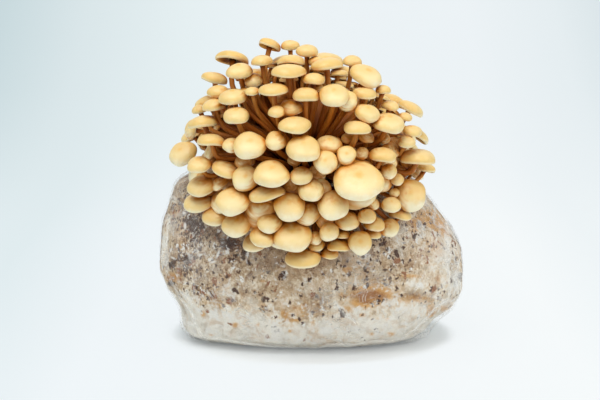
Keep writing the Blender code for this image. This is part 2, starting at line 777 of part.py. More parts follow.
def trim_caps(cluster):
    """Makes caps that still meet a little smaller."""
    for _ in range(TRIM_ROUNDS):
        gap, first, second = cap_meetings(cluster)[:3]
        close = gap < CAP_GAP * TRIM_FROM
        if not close.any():
            break
        less = np.zeros_like(cluster.radius)
        np.maximum.at(less, first[close], (CAP_GAP - gap[close]) / 2)
        np.maximum.at(less, second[close], (CAP_GAP - gap[close]) / 2)
        share = 1 - less / cluster.radius
        cluster.radius *= share
        cluster.dome *= share


def settle(cluster, radii):
    """Lays the stems and lets every mushroom find room without touching another clump."""
    lay_stems(cluster, radii)
    feet = cluster.path[:, 0].copy()
    for number in range(ROUNDS):
        late = number > ROUNDS * LATE
        hold_shape(cluster, feet, 0.0 if late else SEAT_PULL * (1 - number / ROUNDS))
        caps = part_caps(cluster)
        cluster.path[:, -1] = cluster.seat
        past = part_stems_from_caps(cluster)
        stems = part_stems(cluster)
        clear_loaf(cluster)
        cluster.path[:, 0] = feet
        cluster.path[:, -1] = cluster.seat
        if late and max(caps, past, stems) < SETTLED:
            break
    trim_caps(cluster)


# Meshes


def ring(bm, centre, side, other, radii, count):
    """A ring of vertices about a centre; radii is one number or one for each vertex."""
    radii = np.broadcast_to(radii, (count,))
    made = []
    for step in range(count):
        angle = 2 * math.pi * step / count
        point = centre + (math.cos(angle) * side + math.sin(angle) * other) * radii[step]
        made.append(bm.verts.new(Vector(point) * MM))
    return made


def bridge(bm, lower, upper):
    """Skins two rings whose counts may differ."""
    low, high = 0, 0
    while low < len(lower) or high < len(upper):
        take_low = (low + 1) * len(upper) <= (high + 1) * len(lower)
        if high >= len(upper) or (low < len(lower) and take_low):
            after = lower[(low + 1) % len(lower)]
            bm.faces.new((lower[low % len(lower)], after, upper[high % len(upper)]))
            low += 1
        else:
            after = upper[(high + 1) % len(upper)]
            bm.faces.new((lower[low % len(lower)], after, upper[high % len(upper)]))
            high += 1


def cap_sides(radius):
    """Sides of a cap's rings: a bigger cap has more."""
    if radius > WIDE_CAP:
        return 10
    return 8 if radius > MIDDLE_CAP else 7


def mushroom_mesh(cluster, number):
    """One mushroom as one skin: foot, stem, underside, rim and dome."""
    bm = bmesh.new()
    axis, radius = cluster.axis[number], cluster.radius[number]
    dome, stem = cluster.dome[number], cluster.stem[number]
    path = cluster.path[number].copy()
    stem_sides = 4 if radius > MIDDLE_CAP else 3
    ways = unit(np.gradient(path, axis=0))
    ways[0], ways[-1] = cluster.foot_out[number], axis
    seat = path[-1].copy()
    path[-1] += axis * dome * STEM_SINK
    side = unit(np.cross(ways[0], (math.cos(number), math.sin(number), 0.4)))
    rings = []
    for point, way in zip(path, ways):
        side = unit(side - dot(side, way) * way)
        rings.append(ring(bm, point, side, np.cross(way, side), stem, stem_sides))
    bm.faces.new(list(reversed(rings[0])))
    for lower, upper in zip(rings, rings[1:]):
        bridge_even(bm, lower, upper)
    sides = cap_sides(radius)
    lobes = 1 + CAP_LOBES * np.sin(3 * np.arange(sides) * 2 * math.pi / sides + number)
    other = np.cross(axis, side)
    rim = ring(bm, seat, side, other, radius * lobes, sides)
    high, wide = dome * SHOULDER_RISE, radius * SHOULDER_REACH
    shoulder = ring(bm, seat + axis * high, side, other, wide, sides)
    bridge(bm, rings[-1], rim)
    bridge_even(bm, rim, shoulder)
    crown = bm.verts.new(Vector(seat + axis * dome) * MM)
    for step in range(sides):
        bm.faces.new((shoulder[step], shoulder[(step + 1) % sides], crown))
    bmesh.ops.recalc_face_normals(bm, faces=bm.faces)
    return bm


def bridge_even(bm, lower, upper):
    """Skins two rings of the same count with quads."""
    count = len(lower)
    for step in range(count):
        after = (step + 1) % count
        bm.faces.new((lower[step], lower[after], upper[after], upper[step]))


def new_object(name, bm, collection, look):
    """Makes an object from a bmesh, shades it smooth and gives it its own material."""
    mesh = bpy.data.meshes.new(name)
    bm.to_mesh(mesh)
    bm.free()
    mesh.shade_smooth()
    mesh.set_sharp_from_angle(angle=math.radians(SHARP_EDGE))
    obj = bpy.data.objects.new(name, mesh)
    collection.objects.link(obj)
    if look:
        mesh.materials.append(new_material(name, *look))
    return obj


def new_material(name, colour, roughness):
    """A plain Principled material."""
    material = bpy.data.materials.new(name)
    material.use_nodes = True
    shader = material.node_tree.nodes["Principled BSDF"]
    shader.inputs["Base Color"].default_value = (*colour, 1.0)
    shader.inputs["Roughness"].default_value = roughness
    return material


def add_boolean(obj, other, operation):
    """Puts an exact Boolean on an object."""
    modifier = obj.modifiers.new(other.name, "BOOLEAN")
    modifier.operation = operation
    modifier.object = other


def hide(obj):
    """Makes an object a helper that isn't part of the model."""
    obj.hide_render = True
    obj.display_type = "WIRE"


def build_clump(cluster, number, name, parts, helpers):
    """One node: the clump's first mushroom with the others grown onto its foot."""
    members = np.nonzero(cluster.clump == number)[0]
    main = new_object(name, mushroom_mesh(cluster, members[0]), parts, MUSHROOM_LOOK)
    for member in members[1:]:
        helper = new_object(f"{name}_with_{member}", mushroom_mesh(cluster, member), helpers, None)
        hide(helper)
        add_boolean(main, helper, "UNION")
    if len(members) > 1:
        keep_whole_bodies(main)


def keep_whole_bodies(obj):
    """Applies an object's unions and drops slivers of no size that they leave at the foot."""
    evaluated = obj.evaluated_get(bpy.context.evaluated_depsgraph_get())
    bm = bmesh.new()
    bm.from_mesh(evaluated.to_mesh())
    evaluated.to_mesh_clear()
    for body in loose_bodies(bm):
        if volume_of(body) < SLIVER:
            bmesh.ops.delete(bm, geom=body, context="FACES")
    obj.modifiers.clear()
    bm.to_mesh(obj.data)
    bm.free()


def loose_bodies(bm):
    """Faces of a bmesh by the body that they belong to."""
    left, bodies = set(bm.faces), []
    while left:
        body, edge = [], [left.pop()]
        while edge:
            face = edge.pop()
            body.append(face)
            around = {near for side in face.edges for near in side.link_faces} & left
            left -= around
            edge.extend(around)
        bodies.append(body)
    return bodies


def volume_of(body):
    """Size of what closed faces hold, in cubic millimetres; a cavity has less than none."""
    total = 0.0
    for face in body:
        first, *rest = (vert.co / MM for vert in face.verts)
        for second, third in zip(rest, rest[1:]):
            total += first.dot(second.cross(third)) / 6
    return total


def skin_mesh(inset, pleated):
    """The loaf's skin as a closed loft."""
    bm = bmesh.new()
    loft(bm, [section_points(row[0], inset, pleated) for row in SECTIONS])
    bmesh.ops.recalc_face_normals(bm, faces=bm.faces)
    return bm


def mouth_matrix():
    """Places a helper at the mouth, its Z out of it."""
    turn = Matrix([[float(value) for value in row] for row in mouth_frame()]).to_4x4()
    return Matrix.Translation(Vector(butt_centre()) * MM) @ turn


def build_block(radii, parts, helpers):
    """The loaf with the stem butt swelling out of its top front."""
    block = new_object("substrate_block", skin_mesh(FILM + FILM_GAP, False), parts, LOAF_LOOK)
    bm = bmesh.new()
    bmesh.ops.create_uvsphere(bm, u_segments=BUTT_SIDES, v_segments=BUTT_ROWS, radius=1.0)
    bm.transform(mouth_matrix() @ Matrix.Diagonal((*(radii * MM), 1.0)))
    butt = new_object("stem_butt", bm, helpers, None)
    hide(butt)
    add_boolean(block, butt, "UNION")


def build_bag(radii, parts, helpers):
    """The film: a pleated skin with an oval mouth cut for the butt."""
    bag = new_object("film_bag", skin_mesh(0.0, True), parts, FILM_LOOK)
    wall = bag.modifiers.new("film", "SOLIDIFY")
    wall.thickness = FILM * MM
    wall.offset = -1.0
    wall.use_even_offset = True
    bm = bmesh.new()
    bmesh.ops.create_cone(
        bm, cap_ends=True, segments=MOUTH_SIDES, radius1=1.0, radius2=1.0, depth=MOUTH_DEPTH
    )
    reach = (*((radii[:2] + MOUTH_MARGIN) * MM), BUTT_SWELL * MM)
    lift = Matrix.Translation((0.0, 0.0, BUTT_DROP * MM))
    bm.transform(mouth_matrix() @ lift @ Matrix.Diagonal((*reach, 1.0)))
    mouth = new_object("mouth_cut", bm, helpers, None)
    hide(mouth)
    add_boolean(bag, mouth, "DIFFERENCE")


def main():
    """Builds the whole kit."""
    for obj in list(bpy.data.objects):
        bpy.data.objects.remove(obj)
    parts = bpy.data.collections.new("golden_enoki_grow_kit")
    helpers = bpy.data.collections.new("helpers")
    for collection in (parts, helpers):
        bpy.context.scene.collection.children.link(collection)
    cluster, names = plan_cluster()
    radii = butt_radii(len(cluster.seat))
    settle(cluster, radii)
    build_block(radii, parts, helpers)
    build_bag(radii, parts, helpers)
    for number, name in enumerate(names):
        build_clump(cluster, number, name, parts, helpers)


main()
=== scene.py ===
"""Golden enoki grow kit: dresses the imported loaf, film and mushrooms, and lights them.

Every mushroom is read back from the solid clumps: the crown and shoulder of each cap give its
place, lean, width and height, and the rings below give the run of its stem. The fine caps,
gills and stems are then made on the same places. Lengths are in metres, and the helper MM turns
millimetres into metres.
"""

import json
import logging
import math
from dataclasses import dataclass, field
from enum import Enum
from functools import reduce

import bmesh
import bpy
import numpy as np
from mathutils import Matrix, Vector, noise
from mathutils.bvhtree import BVHTree

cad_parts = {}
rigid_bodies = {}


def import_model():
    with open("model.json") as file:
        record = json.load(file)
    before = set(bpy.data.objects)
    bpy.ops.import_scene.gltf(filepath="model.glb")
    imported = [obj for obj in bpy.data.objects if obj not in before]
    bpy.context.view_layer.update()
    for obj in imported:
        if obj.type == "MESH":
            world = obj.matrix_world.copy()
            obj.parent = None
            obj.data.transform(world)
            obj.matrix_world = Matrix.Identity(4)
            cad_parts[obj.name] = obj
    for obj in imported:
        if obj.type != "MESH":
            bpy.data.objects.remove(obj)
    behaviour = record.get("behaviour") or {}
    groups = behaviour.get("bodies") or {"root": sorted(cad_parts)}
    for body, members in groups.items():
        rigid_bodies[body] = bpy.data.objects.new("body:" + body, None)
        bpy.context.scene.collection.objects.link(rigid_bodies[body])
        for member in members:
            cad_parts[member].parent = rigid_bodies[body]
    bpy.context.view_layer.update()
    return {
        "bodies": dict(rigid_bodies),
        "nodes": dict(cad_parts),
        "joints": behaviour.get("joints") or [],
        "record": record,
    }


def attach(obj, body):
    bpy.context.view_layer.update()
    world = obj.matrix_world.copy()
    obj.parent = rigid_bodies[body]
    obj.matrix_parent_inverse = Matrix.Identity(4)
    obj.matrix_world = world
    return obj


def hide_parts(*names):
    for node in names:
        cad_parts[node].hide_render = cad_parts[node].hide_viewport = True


log = logging.getLogger("grow_kit")

MM = 0.001
BODY = "root"
CAP_MIDDLE = 0.35
ASIDE = (0.3, 0.8, 0.5)


def unit(vectors: np.ndarray) -> np.ndarray:
    """Scales vectors to length one along the last axis."""
    return vectors / np.maximum(np.linalg.norm(vectors, axis=-1, keepdims=True), 1e-12)


def linear(red: float, green: float, blue: float) -> tuple[float, float, float, float]:
    """Turns a colour of 0 to 255, as seen on a screen, into the linear one that shaders take.

    Args:
        red: The red share.
        green: The green share.
        blue: The blue share.

    Returns:
        Red, green, blue and 1.
    """
    toe, slope, offset, power = 0.04045, 12.92, 0.055, 2.4
    shares = (channel / 255 for channel in (red, green, blue))
    made = [s / slope if s <= toe else ((s + offset) / (1 + offset)) ** power for s in shares]
    return (*made, 1.0)


@dataclass(frozen=True)
class PhotoView:
    """Where the photograph was taken from, and the scale of its picture of 600 by 400 points."""

    distance: float = 0.9
    rise: float = 12.0
    target: tuple = (-7.9 * MM, 0.0, 90.5 * MM)
    pixels_per_mm: float = 1.525
    width: int = 600
    height: int = 400

    def away(self) -> np.ndarray:
        """Way from the object to the camera."""
        rise = math.radians(self.rise)
        return np.array((0.0, -math.cos(rise), math.sin(rise)))

    def eye(self) -> np.ndarray:
        """The camera's place."""
        return np.array(self.target) + self.away() * self.distance

    def focal_pixels(self) -> float:
        """Focal length, in points of the picture."""
        return self.distance / MM * self.pixels_per_mm

    def pixels(self, points: np.ndarray) -> tuple[np.ndarray, np.ndarray]:
        """Column and row of the picture that each point falls on.

        Args:
            points: Points in metres.

        Returns:
            The columns and the rows.
        """
        away = self.away()
        sight = points - self.eye()
        depth = -(sight @ away)
        up = np.array((0.0, away[2], -away[1]))
        column = self.width / 2 + self.focal_pixels() * sight[:, 0] / depth
        row = self.height / 2 - self.focal_pixels() * (sight @ up) / depth
        return column, row


def make_object(name: str, points: list, faces: list, materials: list[bpy.types.Material],
                painted: dict[str, np.ndarray] | None = None) -> bpy.types.Object:
    """Makes a smooth mesh with its painted values and puts it in the scene.

    Args:
        name: The object's name.
        points: Its points.
        faces: Each face as the numbers of its points.
        materials: Its materials, in the order of their slots.
        painted: For each painted value, one number for each point.

    Returns:
        The object.
    """
    mesh = bpy.data.meshes.new(name)
    mesh.from_pydata(points, [], faces)
    mesh.shade_smooth()
    for key, values in (painted or {}).items():
        layer = mesh.attributes.new(key, "FLOAT", "POINT")
        layer.data.foreach_set("value", values.astype(np.float32))
    for material in materials:
        mesh.materials.append(material)
    made = bpy.data.objects.new(name, mesh)
    bpy.context.scene.collection.objects.link(made)
    return made


class Wire:
    """A value between two nodes; sums and products of wires lay out Math nodes."""

    def __init__(self, sketch: "NodeSketch", socket: bpy.types.NodeSocket) -> None:
        """Keeps the sketch that the wire belongs to and the socket that it starts from."""
        self.sketch = sketch
        self.socket = socket

    def __add__(self, other: object) -> "Wire":
        """This value plus another."""
        return self.sketch.math("ADD", self, other)

    def __sub__(self, other: object) -> "Wire":
        """This value less another."""
        return self.sketch.math("SUBTRACT", self, other)

    def __rsub__(self, other: object) -> "Wire":
        """Another value less this one."""
        return self.sketch.math("SUBTRACT", other, self)

    def __mul__(self, other: object) -> "Wire":
        """This value times another."""
        return self.sketch.math("MULTIPLY", self, other)


class NodeSketch:
    """A short way to lay out the nodes of a material or a world and to link them."""

    def __init__(self, owner: bpy.types.Material | bpy.types.World) -> None:
        """Empties the owner's nodes."""
        self.owner = owner
        owner.use_nodes = True
        self.tree = owner.node_tree
        self.tree.nodes.clear()

    def add(self, kind: str, settings: dict | None = None, **inputs: object) -> bpy.types.Node:
        """Adds a node.

        Args:
            kind: The node's type, without the prefix ShaderNode.
            settings: The node's own properties.
            **inputs: Its sockets by name, underscores for spaces, or as in_ and their number:
                for each a value, or a wire to link.

        Returns:
            The new node.
        """
        node = self.tree.nodes.new("ShaderNode" + kind)
        for key, value in (settings or {}).items():
            setattr(node, key, value)
        for key, value in inputs.items():
            name = int(key[3:]) if key.startswith("in_") else key.replace("_", " ")
            if isinstance(value, Wire):
                self.tree.links.new(value.socket, node.inputs[name])
            else:
                node.inputs[name].default_value = value
        return node

    def wire(self, kind: str, settings: dict | None = None, output: int | str = 0,
             **inputs: object) -> Wire:
        """Adds a node and returns what leaves one of its sockets."""
        return Wire(self, self.add(kind, settings, **inputs).outputs[output])

    def math(self, operation: str, first: object, second: object = 0.5,
             clamp: bool = False) -> Wire:
        """Adds a Math node."""
        settings = {"operation": operation, "use_clamp": clamp}
        return self.wire("Math", settings, in_0=first, in_1=second)

    def mix(self, share: object, first: object, second: object) -> Wire:
        """Mixes two colours, each a wire or a red, green and blue of 0 to 255."""
        first, second = (linear(*c) if isinstance(c, tuple) else c for c in (first, second))
        return self.wire("Mix", {"data_type": "RGBA"}, 2, in_0=share, in_6=first, in_7=second)

    def ramp(self, value: Wire, low: float, high: float, start: float = 0.0,
             end: float = 1.0) -> Wire:
        """Maps a value from low..high to start..end, smoothly and held at the ends."""
        settings = {"interpolation_type": "SMOOTHSTEP"}
        return self.wire("MapRange", settings, in_0=value, in_1=low, in_2=high, in_3=start,
                         in_4=end)

    def painted(self, name: str) -> Wire:
        """Reads a value that was painted on the mesh."""
        return self.wire("Attribute", {"attribute_name": name}, "Fac")

    def place(self, scale: tuple = (1, 1, 1)) -> Wire:
        """Object coordinates, stretched."""
        return self.wire("Mapping", Vector=self.wire("TexCoord", output="Object"), Scale=scale)

    def noise(self, scale: float, detail: float = 3.0, stretch: tuple = (1, 1, 1),
              roughness: float = 0.5, distortion: float = 0.0) -> Wire:
        """A noise pattern over the object; scale counts its cells in a metre."""
        return self.wire("TexNoise", None, "Fac", Vector=self.place(stretch), Scale=scale,
                         Detail=detail, Roughness=roughness, Distortion=distortion)

    def swing(self, size: float, *pattern: object, **more: object) -> Wire:
        """A noise pattern about zero, from minus to plus half a size."""
        return (self.noise(*pattern, **more) - 0.5) * size

    def cells(self, scale: float, stretch: tuple, bend: float) -> tuple[Wire, Wire]:
        """A cell pattern over the object, its cells bent by a length: colour and distance.

        Args:
            scale: How many cells a metre holds.
            stretch: The stretch along each axis.
            bend: The length that the cells are bent by.

        Returns:
            Each cell's colour, and the distance from its middle.
        """
        place = self.place(stretch)
        wander = self.wire("TexNoise", None, "Color", Vector=place, Scale=scale * 1.3, Detail=2.0)
        centred = self.wire("VectorMath", {"operation": "SUBTRACT"}, in_0=wander,
                            in_1=(0.5,) * 3)
        moved = self.wire("VectorMath", {"operation": "MULTIPLY_ADD"}, in_0=centred,
                          in_1=(bend,) * 3, in_2=place)
        cells = self.add("TexVoronoi", Vector=moved, Scale=scale)
        return Wire(self, cells.outputs["Color"]), Wire(self, cells.outputs["Distance"])

    def stops(self, value: Wire, *colours: tuple) -> Wire:
        """A run of colours, each given as its place from 0 to 1 and its red, green and blue.

        Args:
            value: Where on the run each point lies.
            *colours: The colours.

        Returns:
            The colour.
        """
        node = self.add("ValToRGB", Fac=value)
        elements = node.color_ramp.elements
        while len(elements) < len(colours):
            elements.new(0.5)
        for element, (place, *colour) in zip(elements, colours):
            element.position = place
            element.color = linear(*colour)
        return Wire(self, node.outputs[0])

    def bump(self, height: Wire, depth: float, **normal: Wire) -> Wire:
        """Raises the surface by a height of 0 to 1 times a depth in metres."""
        return self.wire("Bump", Height=height, Distance=depth, Strength=1.0, **normal)

    def seen(self) -> Wire:
        """1 for rays that show something itself: from the camera, a mirror or clear film.

        Returns:
            1 or 0.
        """
        path = self.add("LightPath")
        kinds = (Wire(self, path.outputs[f"Is {kind} Ray"])
                 for kind in ("Camera", "Glossy", "Transmission"))
        return reduce(lambda first, second: self.math("MAXIMUM", first, second), kinds)

    def finish(self, shader: Wire) -> bpy.types.Material:
        """Links the shader to the material's output."""
        self.add("OutputMaterial", Surface=shader)
        return self.owner


def new_sketch(name: str) -> NodeSketch:
    """Starts a new material."""
    return NodeSketch(bpy.data.materials.new(name))


def painted_recess_shade(n: NodeSketch, colour: Wire, amber: tuple, shadow: tuple) -> Wire:
    """Paints shade on flesh that lies low among its neighbours: amber first, then dark brown.

    Args:
        n: The material's sketch.
        colour: The colour in the open.
        amber: The painted shade a little way in.
        shadow: The painted shadow deep in.

    Returns:
        The colour.
    """
    recess = n.painted("recess")
    colour = n.mix(n.ramp(recess, 0.09, 0.52, 0.0, 0.9), colour, amber)
    return n.mix(n.ramp(recess, 0.42, 0.85, 0.0, 0.9), colour, shadow)


@dataclass(frozen=True)
class CapSkin:
    """Moist golden skin: honey crown, cream round it, a pale edge, painted amber shade in the
    gaps.
    """

    crown: tuple = (242, 184, 82)
    middle: tuple = (249, 230, 174)
    rim: tuple = (241, 209, 134)
    edge: tuple = (252, 243, 210)
    deep: tuple = (231, 179, 84)
    cream: tuple = (254, 245, 212)
    # amber and shadow are painted shade where the cap lies deep among its neighbours.
    amber: tuple = (216, 134, 24)
    shadow: tuple = (124, 54, 2)
    dent: float = 1.1 * MM
    grain: float = 0.04 * MM
    depth_of_glow: float = 2 * MM

    def make(self) -> bpy.types.Material:
        """Builds the material.

        Returns:
            The material.
        """
        n = new_sketch("cap_skin")
        low = n.painted("low")
        mottle = n.swing(0.5, 200, 4, roughness=0.6)
        wander = n.painted("reach") + mottle
        colour = n.mix(n.ramp(wander, -0.05, 0.30, 0.2, 1.0), self.crown, self.middle)
        colour = n.mix(n.ramp(wander, 0.62, 1.05), colour, self.rim)
        # Deep honey by the painted value: partly each cap's own random colouring, partly painted
        # shade that grows lower down the flush.
        colour = n.mix(n.ramp(n.painted("tone_and_shade"), 0.2, 1.0) * 0.45, colour, self.deep)
        colour = n.mix(n.ramp(n.noise(85), 0.48, 0.72, 0.0, 0.28), colour, self.deep)
        # By which way the skin faces: deeper honey on the upper side, partly the cap's own colour
        # and partly painted shade from above.
        colour = n.mix(n.ramp(low, 0.05, -0.55, 0.0, 0.5), colour, self.deep)
        # Cream on the lower side where it lies open: partly the cap's paler margin and partly
        # painted light from the pale table below.
        open_to_light = n.ramp(n.painted("recess"), 0.05, 0.4, 0.9, 0.15)
        pale = n.ramp(low + mottle * 1.6, -0.1, 0.62) * open_to_light
        colour = n.mix(pale, colour, self.cream)
        colour = n.mix(n.ramp(n.painted("along"), 0.1, 0.9, 0.0, 0.5), colour, self.edge)
        dents = n.bump(n.noise(120, roughness=0.45), self.dent)
        return n.finish(n.wire(
            "BsdfPrincipled", Base_Color=painted_recess_shade(n, colour, self.amber, self.shadow),
            Roughness=0.42, Normal=n.bump(n.noise(900), self.grain, Normal=dents),
            Subsurface_Weight=0.08, Subsurface_Scale=self.depth_of_glow,
            Subsurface_Radius=(1.0, 0.6, 0.25), Coat_Weight=0.22, Coat_Roughness=0.3, IOR=1.38,
        ))


@dataclass(frozen=True)
class GillFlesh:
    """The underside: golden gills, browner toward the stem, with painted shade where they lie
    deep.
    """

    edge: tuple = (238, 202, 126)
    inner: tuple = (180, 118, 46)
    # amber and shadow are painted shade where the gills lie deep among their neighbours.
    amber: tuple = (182, 100, 16)
    shadow: tuple = (92, 36, 1)
    depth_of_glow: float = 1.5 * MM

    def make(self) -> bpy.types.Material:
        """Builds the material.

        Returns:
            The material.
        """
        n = new_sketch("gill_flesh")
        colour = n.mix(n.ramp(n.painted("reach"), 0.3, 0.9), self.inner, self.edge)
        # Browner by the painted value: partly own random colouring, partly painted shade lower
        # down the flush.
        colour = n.mix(n.painted("tone_and_shade") * 0.35, colour, self.inner)
        return n.finish(n.wire(
            "BsdfPrincipled", Base_Color=painted_recess_shade(n, colour, self.amber, self.shadow),
            Roughness=0.55, Subsurface_Weight=0.1, Subsurface_Scale=self.depth_of_glow,
            Subsurface_Radius=(1.0, 0.5, 0.2),
        ))


@dataclass(frozen=True)
class StemFlesh:
    """Stems: straw below the cap, amber then dark brown toward the foot; painted shade deep in."""

    top: tuple = (222, 160, 76)
    middle: tuple = (192, 114, 32)
    foot: tuple = (134, 64, 5)
    # amber and shadow are painted shade where the stems lie deep among the others.
    amber: tuple = (172, 92, 10)
    shadow: tuple = (62, 22, 0)
    fibre: float = 0.08 * MM
    depth_of_glow: float = 1.5 * MM

    def make(self) -> bpy.types.Material:
        """Builds the material.

        Returns:
            The material.
        """
        n = new_sketch("stem_flesh")
        along = n.painted("along")
        streak = n.ramp(n.noise(600, 3, (1, 1, 0.16)), 0.35, 0.7, 0.0, 0.35)
        colour = n.mix(n.ramp(along, 0.0, 0.36), self.top, self.middle)
        colour = n.mix(n.ramp(along, 0.3, 0.85), colour, self.foot)
        colour = n.mix(streak, colour, self.foot)
        # Toward the middle colour by the painted value: partly own random colouring, partly
        # painted shade lower down.
        colour = n.mix(n.painted("tone_and_shade") * 0.35, colour, self.middle)
        return n.finish(n.wire(
            "BsdfPrincipled", Base_Color=painted_recess_shade(n, colour, self.amber, self.shadow),
            Roughness=0.45, Subsurface_Weight=0.08, Subsurface_Scale=self.depth_of_glow,
            Subsurface_Radius=(1.0, 0.45, 0.15), IOR=1.35, Normal=n.bump(streak, self.fibre),
        ))


@dataclass(frozen=True)
class LoafCrumb:
    """Sawdust grown through with white mycelium: more soil reads browner, less reads whiter."""

    chip: tuple = (150, 98, 60)
    bark: tuple = (78, 44, 24)
    white: tuple = (236, 233, 226)
    ochre: tuple = (216, 160, 80)
    umber: tuple = (150, 94, 48)
    smoke: tuple = (180, 166, 146)
    tan: tuple = (196, 160, 118)
    slate: tuple = (66, 38, 20)
    tall: tuple = (1, 1, 0.85)
    relief: float = 0.7 * MM

    def make(self) -> bpy.types.Material:
        """Builds the material: grain, then warm stains, chips, and mycelium on top.

        Returns:
            The material.
        """
        n = new_sketch("loaf_crumb")
        fleck, soil = n.painted("fleck"), self.soil(n)
        colour = n.stops(
            soil, (0.0, 238, 232, 219), (0.22, 228, 211, 184), (0.42, 196, 171, 138),
            (0.6, 166, 135, 100), (0.8, 120, 82, 52), (1.0, 56, 32, 20),
        )
        smoky = n.ramp(n.noise(120, 5, self.tall, 0.65, 0.6), 0.48, 0.66, 0.0, 0.55)
        colour = n.mix(smoky, colour, self.smoke)
        colour = n.mix(self.share(n, "rust", 380, 1.1, 0.15, 0.9), colour, self.ochre)
        on_soil = n.ramp(n.painted("soil"), 0.35, 0.62, 0.1, 1.0)
        brown = self.share(n, "rust", 230, 1.6, 0.35, 0.95) * on_soil
        colour = n.mix(brown, colour, self.umber)
        warm = n.ramp(n.noise(75, 4, self.tall, 0.65, 0.8), 0.46, 0.68, 0.0, 0.5)
        colour = n.mix(warm, colour, self.tan)
        grain = n.noise(480, 5, self.tall, 0.75) + fleck * 0.34
        colour = n.mix(n.ramp(grain, 0.74, 0.82, 0.0, 0.9), colour, self.bark)
        for scale, amount, reach, shade in (
            (210, 1.0, 0.36, self.chip), (340, 0.7, 0.36, self.white),
            (270, 0.75, 0.40, self.bark), (480, 1.15, 0.44, self.bark),
        ):
            colour = n.mix(self.flecks(n, scale, fleck * amount, reach), colour, shade)
        colour = n.mix(self.share(n, "dark", 460, 1.5, 0.36, 0.66), colour, self.slate)
        curd = n.noise(135, 4, self.tall, 0.7, 0.7) - soil * 0.08
        colour = n.mix(n.ramp(curd, 0.52, 0.61, 0.0, 0.66), colour, self.white)
        threads = n.noise(360, 4, (1, 1, 0.5), 0.65, 1.2)
        colour = n.mix(n.ramp(threads, 0.62, 0.72, 0.0, 0.7), colour, self.white)
        colour = n.mix(n.ramp(n.painted("white"), 0.3, 0.75, 0.0, 0.9), colour, self.white)
        height = n.noise(320, 4, self.tall) + n.noise(60, 3, self.tall) * 1.5
        return n.finish(n.wire(
            "BsdfPrincipled", Base_Color=colour, Roughness=0.8,
            Normal=n.bump(height, self.relief),
        ))

    def soil(self, n: NodeSketch) -> Wire:
        """How brown the crumb is: the painted amount broken up by three sizes of grain.

        Args:
            n: The material's sketch.

        Returns:
            The amount.
        """
        lively = n.painted("fleck") * 0.9 + 0.55
        fine = n.swing(2.5, 560, 5, self.tall, 0.78) * lively
        middling = n.swing(1.6, 170, 4, self.tall, 0.65, 0.6) * lively
        broad = n.swing(1.2, 52, 4, self.tall, 0.6, 0.5)
        return n.painted("soil") + (fine + (middling + broad)) - n.painted("pale") * 0.5

    def share(self, n: NodeSketch, name: str, scale: float, ragged: float, low: float,
              high: float) -> Wire:
        """A painted patch with its edge broken up by noise."""
        edge = n.swing(ragged, scale, 5, roughness=0.7)
        return n.ramp(n.painted(name) + edge, low, high, 0.0, 0.9)

    def flecks(self, n: NodeSketch, scale: float, amount: Wire, reach: float) -> Wire:
        """Scatters chips, more of them where the painted amount is higher.

        Args:
            n: The material's sketch.
            scale: How many places a metre holds.
            amount: The share of places that hold a chip.
            reach: How far a chip spreads over its place.

        Returns:
            1 on a chip, 0 beside it.
        """
        colour, distance = n.cells(scale, (1, 1, 0.8), 1.6 / scale)
        chance = n.add("SeparateColor", in_0=colour)
        present = n.math("LESS_THAN", Wire(n, chance.outputs[0]), amount)
        ragged = n.swing(0.9, scale * 2.6, 3, roughness=0.7)
        size = (Wire(n, chance.outputs[1]) + 0.4) * reach
        return present * n.ramp(size - (distance + ragged), -0.06, 0.08)


@dataclass(frozen=True)
class ClearFilm:
    """Clear film: nearly unseen where flat; white where creased, partly milky and partly painted
    highlight.
    """

    tint: tuple = (250, 247, 239)
    haze: float = 0.02
    crease_and_glint: float = 0.7
    relief: float = 0.9 * MM
    mirror_share: float = 0.3
    mirror_most: float = 0.1

    def make(self) -> bpy.types.Material:
        """Builds the material.

        Returns:
            The material.
        """
        n = new_sketch("clear_film")
        # Thin ridge lines of white are painted highlight on the wrinkles; the painted fold value
        # adds milky white and painted highlight.
        off_ridge = n.math("ABSOLUTE", n.noise(120, 4, (0.6, 0.6, 1.0), 0.6, 0.8) - 0.5) * 16.0
        ridge = n.math("SUBTRACT", 1.0, off_ridge, clamp=True)
        ridge = ridge * n.ramp(n.noise(38, 2), 0.48, 0.64)
        white = n.math("ADD", ridge * 0.45, n.painted("crease_and_glint"), clamp=True)
        height = n.noise(220, 4, (0.7, 0.7, 1), 0.6, 1.0) + ridge * 0.7
        normal = n.bump(height, self.relief)
        outer = 1.0 - n.wire("NewGeometry", output="Backfacing")
        facing = n.wire("LayerWeight", output="Facing", Blend=0.5)
        outer = outer * n.ramp(facing, 0.72, 0.94, 1.0, 0.06)
        veil = white * self.crease_and_glint + n.painted("haze")
        skin = n.wire(
            "BsdfPrincipled", Base_Color=linear(*self.tint), Roughness=0.3, Normal=normal,
            Alpha=n.math("ADD", veil, self.haze, clamp=True) * outer, IOR=1.5,
        )
        gloss = n.wire("BsdfGlossy", Color=(1.0, 1.0, 1.0, 1.0), Roughness=0.2, Normal=normal)
        mirror = n.wire("Fresnel", IOR=1.45, Normal=normal) * self.mirror_share
        mirror = n.math("MINIMUM", mirror, self.mirror_most) * outer
        return n.finish(n.wire("MixShader", Fac=mirror, in_1=skin, in_2=gloss))


@dataclass(frozen=True)
class MushroomForm:
    """One mushroom: the seat and axis of its cap, its sizes, and the run of its stem."""

    seat: np.ndarray
    axis: np.ndarray
    radius: float
    dome: float
    stem: float
    path: np.ndarray

    def middle(self) -> np.ndarray:
        """The middle of the cap, where its stem ends."""
        return cap_middle(self.seat, self.axis, self.dome)


def cap_middle(seat: np.ndarray, axis: np.ndarray, dome: float) -> np.ndarray:
    """The middle of a cap, a little above its seat."""
    return seat + axis * dome * CAP_MIDDLE


